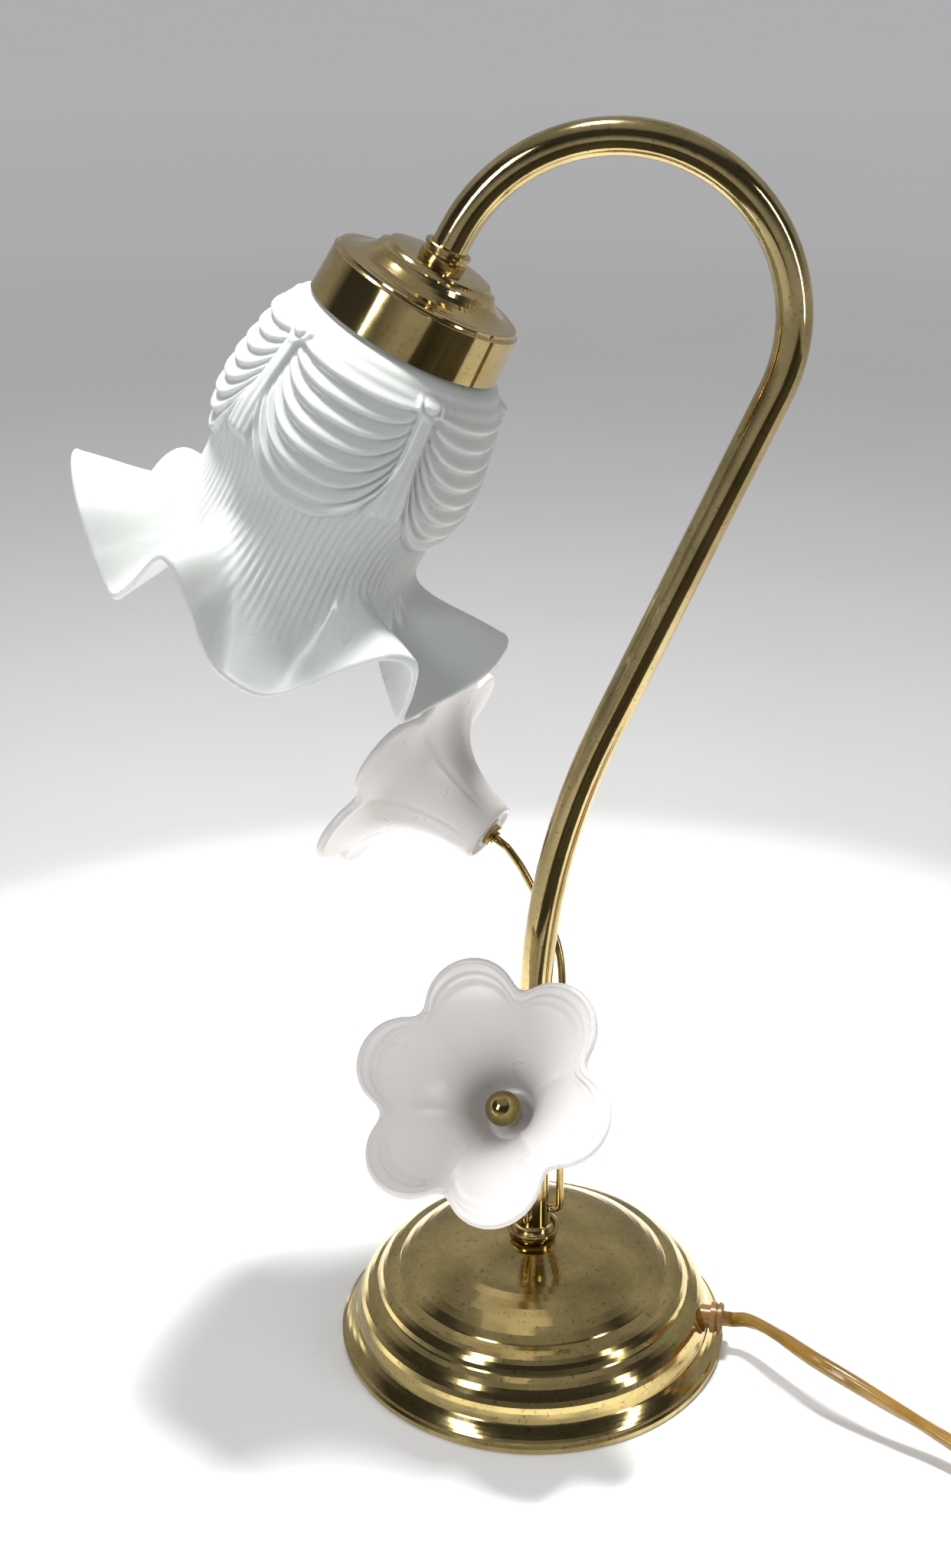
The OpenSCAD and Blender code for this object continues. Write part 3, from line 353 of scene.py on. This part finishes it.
run_points = [cord_start, cord_start + 4 * gland_dir] + points_of(
    [(84, -15, 17.5), (93, -26, 21), (106, -41, 22), (119, -51, 20.5), (132, -59, 17.5), (145, -66, 14),
     (156, -73.3, 11.5), (165, -79.5, 9.6), (172, -83.3, 8.7), (177, -84.5, 8.5), (180, -84.5, 8.5)])
COIL = Vector((230, -28, 3.1))
COIL_R, COIL_STEP, LAYER_TURNS, CLIMB_TURNS, LAYERS, RINGS = 34, 7.4, 1.125, 0.5, 4, 48
stub = Vector((0, 6, 0))
coil_entry = COIL + Vector((COIL_R, 0, 0))
coil_top = coil_entry + Vector((0, 0, (LAYERS - 1) * COIL_STEP))
link_start = SWITCH + Vector((SWITCH_L, 0, 0))
link_points = [link_start, link_start + Vector((4, 0, 0))] + points_of(
    [(250, -83.2, 7), (256, -80, 5.4), (261, -74.5, 4), (263.7, -67.5, 3.3), (264, -59, 3.1),
     (264, -48, 3.1)]) + [coil_entry - stub - Vector((0, 4, 0)), coil_entry - stub]
tail_end = Vector((264, 52, 6.85))
tail_points = [coil_top + stub, coil_top + stub + Vector((0, 5, 0))] + [
    coil_top + Vector(p) for p in ((0, 28, -3.3), (0, 48, -10.3), (0, 64, -16.7))] + [
    tail_end - Vector((0, 6, 0)), tail_end]


def coil_points():
    """The wound stretch: its layers step inwards and outwards in turn, with a climb between two."""
    out = []
    turns = LAYERS * LAYER_TURNS + (LAYERS - 1) * CLIMB_TURNS
    for i in range(int(turns * RINGS) + 1):
        u = i / RINGS
        span = LAYER_TURNS + CLIMB_TURNS
        k = min(int(u / span + 0.0001), LAYERS - 1)
        v = u - k * span
        f = min(v, LAYER_TURNS) / LAYER_TURNS
        inward = f if k % 2 == 0 else 1 - f
        climb = (v - LAYER_TURNS) / CLIMB_TURNS if v > LAYER_TURNS else 0
        r = COIL_R - COIL_STEP * LAYER_TURNS * inward
        out.append(COIL + Vector((r * cosd(360 * u), r * sind(360 * u), (k + climb) * COIL_STEP)))
    return out


run_path = soft_route(run_points, 8)
link_path = soft_route(link_points, 8)
tail_path = soft_route(tail_points, 8)
rest_path = link_path + coil_points() + tail_path


def twin_section(half, apart, n=24):
    """Outline of a flat two-core cord: two round cores side by side with a shallow groove between."""
    out = []
    for k in range(n):
        a = 2 * math.pi * k / n
        r = apart * abs(math.cos(a)) + math.sqrt(half * half - (apart * math.sin(a)) ** 2)
        out.append((r * math.cos(a), r * math.sin(a)))
    return out


flat_cord = twin_section(2.3, 0.7)
cord_out = tube("cord_to_switch", run_path, flat_cord, (0.3, 0.3, 1), cord_gold, twist=0.045)
cord_on = tube("cord_to_plug", rest_path, flat_cord, (0, 1, 0), cord_gold)
for piece, covered in ((cord_out, ("cord_run",)), (cord_on, ("cord_link", "cord_coil", "cord_tail"))):
    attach(piece, "lamp")
    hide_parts(*covered)

# ---------------------------------------------------------------- stalks
HEAD_TILT = 28.5
STALK_R = 1.5
# where a flower sits on its stalk: place, direction round and up, and turn about its own axis
FRONT = (Vector((-6.3, -22.8, 111.1)), 248.3, 45.2, 26)
UPPER = (Vector((-17.8, 20.2, 205.7)), 153.5, 29.3, 3)


def axis_of(az, el):
    """Unit vector that points az degrees round and el degrees up."""
    return Vector((cosd(el) * cosd(az), cosd(el) * sind(az), sind(el)))


def hook(az):
    """Where a stalk starts: out of the stem's foot at az degrees, then up beside the stem."""
    rows = ((6.05, 55.4), (7.2, 55.4), (8.5, 55.6), (9.6, 56.5), (10.2, 58.2), (10.2, 68))
    return [Vector((r * cosd(az), r * sind(az), z)) for r, z in rows]


front_axis, upper_axis = axis_of(*FRONT[1:3]), axis_of(*UPPER[1:3])
front_end = FRONT[0] - 3.2 * front_axis
upper_end = UPPER[0] - 3.2 * upper_axis
front_route = hook(255) + points_of([(-2.8, -10.4, 82), (-3.4, -12.6, 93), (-4.4, -16.2, 101.6)]) + [
    front_end - 2.6 * front_axis, front_end]
upper_route = hook(0) + points_of([(10.2, 0, 92), (10.3, 0.4, 128), (10, 1.8, 150), (8.6, 4.8, 165),
                                   (4.2, 8.8, 177), (-1.6, 12, 187.5), (-6.4, 14.6, 195.5)]) + [
    upper_end - 5 * upper_axis, upper_end]
for name, route, first in (("stalk_front", front_route, (0, 0, 1)), ("stalk_upper", upper_route, (0, 1, 0))):
    piece = tube("rod_" + name, soft_route(route, 10), circle(STALK_R, 20), first, brass_trim)
    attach(piece, "lamp")
    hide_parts(name)

# ---------------------------------------------------------------- shade
HEAD = Matrix.Translation((-30.78, 0, 418.24)) @ Matrix.Rotation(math.radians(180 + HEAD_TILT), 4, "Y")
SWAGS, KNOT_A, SHADE_S, GLASS_T = 5, 316, 22, 3.2
NECK_R, SWAG_D, WAIST_D, SWAG_H = 31.3, 93, 81, 50
RIM_R, RIM_S, RIM_SWING, RIM_DROP = 67, 120, 13, 20
# the crimped rim: direction round the axis, swing outwards and drop along the axis, both about -1 to 1
RIM_WAVES = [(20, -0.5, 0.8), (50, 0.6, -0.15), (85, -0.7, 0.9), (115, 0.7, -0.6), (150, -0.5, 0.5),
             (174, 0.85, -0.72), (192, 1, -0.72), (200, 0.9, -0.4), (206, 0.45, 0.2), (211, 0.15, 0.65),
             (220, 0.45, -0.1), (229, 0.75, -0.8), (235, 0.45, -0.75), (240, -0.1, -0.2), (245, -0.7, 0.5),
             (255, -1, 1.05), (270, -0.85, 1), (279, -0.55, 0.7), (288, -0.1, 0.05), (297, 0.25, -0.5),
             (304, -0.1, -0.3), (312, -0.45, 0.55), (318, -0.5, 0.95), (326, 0, 0.55), (334, 0.6, -0.05),
             (350, 0.86, -0.45)]
SHADE_HOLE = 15.3
KNOT_S = SHADE_S + 13
WAIST_S = KNOT_S + SWAG_H + 11
FOLDS, FOLD_H, TAIL_H, KNOT_H, FLUTES, FLUTE_H = 8, 1.9, 2.3, 2.6, 100, 0.42
BODY_STEPS, SKIRT_STEPS = 84, 30


def across(a):
    """Place across a swag, from -1 to 1, with a knot at each end."""
    half = 180 / SWAGS
    return ((a - KNOT_A + 20 * half) % (2 * half)) / half - 1


def hang(x):
    """How far down a fold hangs, as a share of the swag's height."""
    return 0.14 + 0.86 * max(1 - abs(x) ** 2.6, 0) ** 0.62


def body_r(s):
    """The plain body under the drapery: fullest at two thirds of the swags, narrowing to the waist."""
    f = (s - KNOT_S) / SWAG_H
    full = smooth((f + 0.15) / 0.8) * (1 - smooth((f - 0.72) / 0.45))
    return WAIST_D / 2 - 1.2 + 1.2 * smooth((f - 0.9) / 0.3) + (SWAG_D - WAIST_D) / 2 * full


def crimp(i):
    n = len(RIM_WAVES)
    return Vector(RIM_WAVES[i % n]) + Vector((360 * (i // n), 0, 0))


@lru_cache(maxsize=None)
def rim_wave(a):
    """Swing and drop of the rim in a direction, on a smooth curve through the crimps."""
    b = (a - RIM_WAVES[0][0]) % 360 + RIM_WAVES[0][0]
    i = sum(1 for w in RIM_WAVES if w[0] <= b) - 1
    p = [crimp(j) for j in range(i - 1, i + 3)]
    w = p[2].x - p[1].x
    t = (b - p[1].x) / w
    m1 = (p[2] - p[0]) * w / (p[2].x - p[0].x)
    m2 = (p[3] - p[1]) * w / (p[3].x - p[1].x)
    v = ((2 * t ** 3 - 3 * t * t + 1) * p[1] + (t ** 3 - 2 * t * t + t) * m1
         + (3 * t * t - 2 * t ** 3) * p[2] + (t ** 3 - t * t) * m2)
    return v.y, v.z


def flare(a, f):
    """Outline of the flared skirt from the waist, f = 0, to the rim, f = 1."""
    swing, drop = rim_wave(a)
    p = Vector((WAIST_D / 2, WAIST_S))
    q = p + Vector((-0.4, 15 + 4 * drop))
    e = Vector((RIM_R + RIM_SWING * swing, RIM_S + RIM_DROP * drop))
    c = Vector((lerp(p.x, e.x, 0.45), lerp(WAIST_S, e.y, 0.72)))
    return bezier((p, q, c, e), f)


def flare_side(a, f):
    d = flare(a, f + 0.01) - flare(a, f - 0.01)
    return Vector((-d.y, d.x)).normalized()


def swag_relief(a, s):
    """Height of the pressed drapery over the body: U folds hung between knots, and the tails."""
    x = across(a)
    q = (s - KNOT_S) / (SWAG_H * hang(x))
    width = (1 - abs(x)) * math.radians(180 / SWAGS) * WAIST_D / 2
    h = 0.0
    if 0 < q < 1.1:
        turn = (FOLDS * q) % 1
        ridge = smooth(turn / 0.72) * (1 - smooth((turn - 0.72) / 0.28))
        depth = FOLD_H * smooth((width - 2.4) / 2.6) * (0.7 + 0.3 * smooth(width / 12))
        h += depth * ridge * smooth(q / 0.08) * (1 - smooth((q - 1) / 0.02))
    drop = s - KNOT_S
    tail_w = 2.5 + 2.6 * smooth((drop - 16) / 20)
    tail = math.exp(-(width / tail_w) ** 6) * smooth((drop - 3) / 3) * (1 - smooth((drop - 37) / 4))
    h += TAIL_H * tail
    away = math.hypot(width, drop)
    h += KNOT_H * math.exp(-(away / 5) ** 8) - 1.3 * math.exp(-((away - 3.2) / 0.8) ** 2)
    return h


def flutes(a, s):
    """Height of the fine upright flutes under the swags."""
    lines = math.cos(math.radians(a * FLUTES)) * 0.5 + 0.5
    return FLUTE_H * lines * smooth((s - KNOT_S - SWAG_H * 0.92 * hang(across(a))) / 6)


def shade_row(a):
    """Closed outline of the glass in one direction: neck, drapery, skirt, rim, and back inside."""
    outer = [(SHADE_HOLE, SHADE_S), (NECK_R - 1.6, SHADE_S), (NECK_R - 0.4, SHADE_S + 0.5),
             (NECK_R, SHADE_S + 1.6), (NECK_R, SHADE_S + 6.4), (NECK_R + 1.6, SHADE_S + 7.2),
             (NECK_R + 4.6, SHADE_S + 8.6)]
    top = SHADE_S + 10
    for i in range(BODY_STEPS + 1):
        s = lerp(top, WAIST_S, i / BODY_STEPS)
        join = smooth((s - top) / 3.5)
        r = lerp(NECK_R + 5.6, body_r(s), join) + join * (swag_relief(a, s) + flutes(a, s) - 0.6)
        outer.append((r, s))
    for i in range(1, SKIRT_STEPS + 1):
        f = i / SKIRT_STEPS * 0.97
        p, n = flare(a, f), flare_side(a, f)
        lift = -flutes(a, WAIST_S) * (1 - smooth((f - 0.2) / 0.5)) + 0.6 * (1 - smooth(f / 0.15))
        p = p + lift * n
        outer.append((p.x, p.y))
    lip, n = flare(a, 1), flare_side(a, 1)
    along = Vector((n.y, -n.x))
    for t in (0, 30, 60, 90, 120, 150, 180):
        p = lip + n * (GLASS_T / 2) - n * (GLASS_T * 0.56) * cosd(t) + along * (0.9 * sind(t) - 0.6)
        outer.append((p.x, p.y))
    inner = []
    for f in [0.95 - 0.05 * i for i in range(19)]:
        p = flare(a, f) + GLASS_T * flare_side(a, f)
        inner.append((p.x, p.y))
    inner.append((WAIST_D / 2 - GLASS_T, WAIST_S - 2))
    for i in range(15, -1, -1):
        s = KNOT_S + 2 + (SWAG_H - 6) * i / 15
        inner.append((body_r(s) - GLASS_T - 0.8, s))
    inner += [(NECK_R + 1.4, SHADE_S + 11), (NECK_R - GLASS_T, SHADE_S + 7.4),
              (NECK_R - GLASS_T, SHADE_S + GLASS_T + 1.2), (NECK_R - GLASS_T - 1.2, SHADE_S + GLASS_T),
              (SHADE_HOLE, SHADE_S + GLASS_T)]
    return outer + inner


shade_rows = []
SHADE_STEPS = 1000
for i in range(SHADE_STEPS):
    a = 360 * i / SHADE_STEPS
    shade_rows.append([HEAD @ Vector((r * cosd(a), r * sind(a), s)) for r, s in shade_row(a)])
shade = loft("pressed_shade", shade_rows, shade_glass)
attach(shade, "lamp")
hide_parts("shade")

# ---------------------------------------------------------------- flowers
PETALS, FLOWER_D, PETAL_R, FLOWER_H, FOOT_D, PETAL_T = 6, 97, 17.2, 39, 23.4, 2.6
BOSS_S, STUD, BEAD_R = 7.3, 2.4, 1.75
CREASE_W, OUTER_CREASE, INNER_CREASE, EDGE_STEP, CUP = 0.14, 0.6, 0.5, 0.75, 0.7
petal_c = FLOWER_D / 2 - PETAL_R


def petal_angle(a):
    half = 180 / PETALS
    return (a + half + 3600) % (2 * half) - half


def petal_arc(b):
    return petal_c * cosd(b) + math.sqrt(max(PETAL_R ** 2 - (petal_c * sind(b)) ** 2, 0.04 * PETAL_R))


def petal_edge(a):
    """The petal's round edge, with the notch between two petals filleted."""
    b, half, fillet = abs(petal_angle(a)), 180 / PETALS, 6.5
    x = b - half + fillet
    if x <= 0:
        return petal_arc(b)
    slope = (petal_arc(half - fillet) - petal_arc(half - fillet - 0.5)) / 0.5
    return petal_arc(half - fillet) + slope * (x - x * x / (2 * fillet))


TRUMPET = [Vector((FOOT_D / 2, 0)), Vector((FOOT_D / 2 + 2, FLOWER_H * 0.65)),
           Vector((FLOWER_D * 0.25, FLOWER_H * 0.96)), Vector((FLOWER_D / 2, FLOWER_H))]


def trumpet(t):
    return bezier(TRUMPET, t)


def trumpet_side(t):
    u = 1 - t
    first, second, third = (b - a for a, b in zip(TRUMPET, TRUMPET[1:]))
    d = u * u * first + 2 * u * t * second + t * t * third
    return Vector((-d.y, d.x)).normalized()


def trumpet_find(r):
    """Where the trumpet has the radius r, by halving."""
    lo, hi = 0.0, 1.0
    for _ in range(24):
        mid = (lo + hi) / 2
        if trumpet(mid).x < r:
            lo = mid
        else:
            hi = mid
    return (lo + hi) / 2


def flower_row(a):
    """Closed outline of the flower in one direction: back, bead rim, face and boss."""
    edge = trumpet_find(petal_edge(a) - 0.9)
    x = petal_angle(a) / (180 / PETALS)
    crease = math.exp(-((1 - abs(x)) / CREASE_W) ** 2)
    foot = FOOT_D / 2
    outer = [(STUD, 1.2), (foot - 2.2, 1.2), (foot - 1.7, 0.3), (foot - 0.9, 0), (foot - 0.2, 0.4)]
    for i in range(1, 31):
        f = i / 31
        p, n = trumpet(f * edge), trumpet_side(f * edge)
        p = p + n * OUTER_CREASE * crease * smooth(f / 0.3) * (1 - smooth((f - 0.9) / 0.1))
        outer.append((p.x, p.y))
    p, n = trumpet(edge), trumpet_side(edge)
    t = Vector((n.y, -n.x))
    centre = p + n * 1.55
    for k in range(13):
        ang = -100 + 200 * k / 12
        q = centre + BEAD_R * (t * cosd(ang) + n * sind(ang))
        outer.append((q.x, q.y))
    for i in range(1, 45):
        f = 1 - (0.2 * i / 24 if i < 25 else lerp(0.2, 0.965, (i - 24) / 20))
        p, n = trumpet(f * edge), trumpet_side(f * edge)
        step = EDGE_STEP * smooth((f - 0.935) / 0.018)
        cup = -CUP * (1 - x * x) * smooth((f - 0.3) / 0.4) * (1 - smooth((f - 0.87) / 0.05))
        ridge = INNER_CREASE * crease * smooth((f - 0.08) / 0.2) * (1 - smooth((f - 0.7) / 0.2))
        p = p + n * (PETAL_T - 0.5 + step + cup + ridge)
        outer.append((p.x, p.y))
    return outer + [(6.6, 5.2), (6.0, 6.2), (5.7, BOSS_S - 0.4), (5.3, BOSS_S), (STUD, BOSS_S)]


def flower_frame(place):
    """From the flower's own frame, with its axis up, to the lamp's."""
    o, az, el, turn = place
    return (Matrix.Translation(o) @ Matrix.Rotation(math.radians(az), 4, "Z")
            @ Matrix.Rotation(math.radians(90 - el), 4, "Y") @ Matrix.Rotation(math.radians(turn), 4, "Z"))


FLOWER_STEPS = 480
flower_rows = []
for i in range(FLOWER_STEPS):
    a = 360 * i / FLOWER_STEPS
    flower_rows.append([(r * cosd(a), r * sind(a), s) for r, s in flower_row(a)])
for name, place in (("flower_front", FRONT), ("flower_upper", UPPER)):
    at = flower_frame(place)
    piece = loft("pressed_" + name, [[at @ Vector(p) for p in row] for row in flower_rows], flower_glass)
    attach(piece, "lamp")
    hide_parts(name)

# ---------------------------------------------------------------- felt
felt = Nodes("green_felt")
felt.set(color=felt.ramp(felt.noise(420, 6, 0.75), [(0.3, (0.03, 0.09, 0.05)), (0.75, (0.07, 0.17, 0.10))]))
felt.set(roughness=0.95, sheen=0.4)
felt.bump(felt.noise(1500, 5, 0.8), 0.6, 0.0006)
FELT_R, FELT_T, CENTRE = 72.4, 1.6, 0.01
felt_profile = [(CENTRE, 0), (40, 0), (FELT_R - 1.6, 0), (FELT_R - 0.4, 0.25), (FELT_R, FELT_T / 2),
                (FELT_R - 0.3, 1.35), (FELT_R - 1.4, FELT_T), (40, FELT_T), (CENTRE, FELT_T)]
felt_rows = [[(r * cosd(a), r * sind(a), z) for r, z in felt_profile] for a in range(0, 360, 3)]
felt_pad = loft("felt_disc", felt_rows, felt.material)
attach(felt_pad, "lamp")
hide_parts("felt_pad")

# ---------------------------------------------------------------- stage and light
RAMP_REACH = 4.0  # metres from the lamp at which the floor's ramps end


def floor_ramp(away, stops):
    """Grey over the distance from the lamp; each stop is a distance in metres, a grey and its blue."""
    reach = floor_paint.math("MULTIPLY", away, 1 / RAMP_REACH)
    return floor_paint.ramp(reach, [(at / RAMP_REACH, (grey, grey, blue)) for at, grey, blue in stops])


floor_paint = Nodes("stage_floor")
away = floor_paint.add("ShaderNodeVectorMath", {0: floor_paint.place()}, operation="LENGTH").outputs["Value"]
mottle = floor_paint.ramp(floor_paint.noise(5, 4, 0.55), [(0.3, (0.95, 0.95, 0.95)), (0.7, (1, 1, 1))])
tone = floor_ramp(away, [(0.352, 0.95, 0.95), (0.488, 0.40, 0.405), (1.6, 0.30, 0.305)])
floor_paint.set(color=floor_paint.mix(1.0, tone, mottle, "MULTIPLY"), roughness=0.85, specular=0.2)
# what the camera, metal and glass see on top of that: an even pale grey far away
rays = floor_paint.add("ShaderNodeLightPath").outputs
seen = floor_paint.math("MAXIMUM", floor_paint.math("MAXIMUM", rays["Is Camera Ray"], rays["Is Glossy Ray"]),
                        rays["Is Transmission Ray"])
glow = floor_ramp(away, [(0.34, 0.05, 0.05), (0.48, 0.10, 0.10), (1.2, 0.16, 0.16), (2.48, 0.30, 0.305),
                         (4.0, 0.34, 0.345)])
lit = floor_paint.add("ShaderNodeEmission", {"Color": glow, "Strength": seen})
both = floor_paint.add("ShaderNodeAddShader", {0: floor_paint.shader.outputs[0], 1: lit.outputs[0]})
end = next(n for n in floor_paint.tree.nodes if n.type == "OUTPUT_MATERIAL")
floor_paint.tree.links.new(both.outputs[0], end.inputs["Surface"])
FLOOR = 14000


def flat(name, x0, y0, x1, y1, z, material):
    """Level rectangle between two corners."""
    corners = [(x0, y0, z), (x1, y0, z), (x1, y1, z), (x0, y1, z)]
    return make(name, corners, [(0, 1, 2, 3)], material)


floor = flat("floor", -FLOOR, -FLOOR, FLOOR, FLOOR, 0, floor_paint.material)

# a dark card in front of the lamp, seen only in reflections, as the dark room is in the photograph
card_paint = Nodes("stage_card")
card_tone = card_paint.ramp(card_paint.noise(4, 3, 0.5), [(0.3, (0.02, 0.02, 0.015)),
                                                          (0.7, (0.07, 0.06, 0.045))])
card_paint.set(color=card_tone, roughness=0.9, specular=0.1)
card = flat("card", -260, -1500, 1100, -190, 3, card_paint.material)
card.visible_camera = card.visible_diffuse = card.visible_shadow = card.visible_transmission = False

world = bpy.data.worlds.new("world")
world.use_nodes = True
sky = world.node_tree
way = sky.nodes.new("ShaderNodeSeparateXYZ")
sky.links.new(sky.nodes.new("ShaderNodeTexCoord").outputs["Generated"], way.inputs[0])


def sky_ramp(source, stops):
    """Grey of the world over one part of the direction; each stop is a place and a grey."""
    node = sky.nodes.new("ShaderNodeValToRGB")
    sky.links.new(source, node.inputs["Fac"])
    while len(node.color_ramp.elements) < len(stops):
        node.color_ramp.elements.new(0.5)
    for e, (at, tone) in zip(node.color_ramp.elements, stops):
        e.position = at
        e.color = (tone, tone, tone * 1.02, 1)
    return node.outputs["Color"]


# the dark room in front of the lamp and the pale wall behind it
room = sky_ramp(way.outputs["Z"], [(0, 0.34), (0.10, 0.20), (0.25, 0.05), (0.70, 0.05), (0.85, 0.30),
                                   (1, 0.34)])
wall = sky_ramp(way.outputs["Z"], [(0, 0.34), (0.30, 0.36), (0.60, 0.46), (0.80, 0.30), (1, 0.34)])
side = sky_ramp(way.outputs["Y"], [(0, 0), (0.30, 1)])
blend = sky.nodes.new("ShaderNodeMix")
blend.data_type = "RGBA"
for source, slot_index in ((side, 0), (room, 6), (wall, 7)):
    sky.links.new(source, blend.inputs[slot_index])
sky.links.new(blend.outputs[2], sky.nodes["Background"].inputs[0])
sky.nodes["Background"].inputs[1].default_value = 1.0
bpy.context.scene.world = world


def area_light(name, at, to, size, watts, colour=(1, 1, 1)):
    """Soft rectangular lamp at one point, turned towards another."""
    data = bpy.data.lights.new(name, "AREA")
    data.shape = "RECTANGLE"
    data.size, data.size_y = size
    data.energy = watts
    data.color = colour
    lamp = bpy.data.objects.new(name, data)
    bpy.context.scene.collection.objects.link(lamp)
    lamp.location = at
    lamp.rotation_euler = (Vector(to) - Vector(at)).to_track_quat("-Z", "Y").to_euler()


area_light("key", (-0.12, 0.10, 1.4), (0, 0, 0.1), (0.16, 0.16), 31, (1.0, 0.985, 0.96))
area_light("window", (-0.8, -1.0, 1.0), (0, 0, 0.2), (0.28, 0.75), 10, (0.97, 0.98, 1.0))
area_light("side", (1.05, -0.55, 0.6), (0, 0, 0.2), (0.12, 0.9), 4)
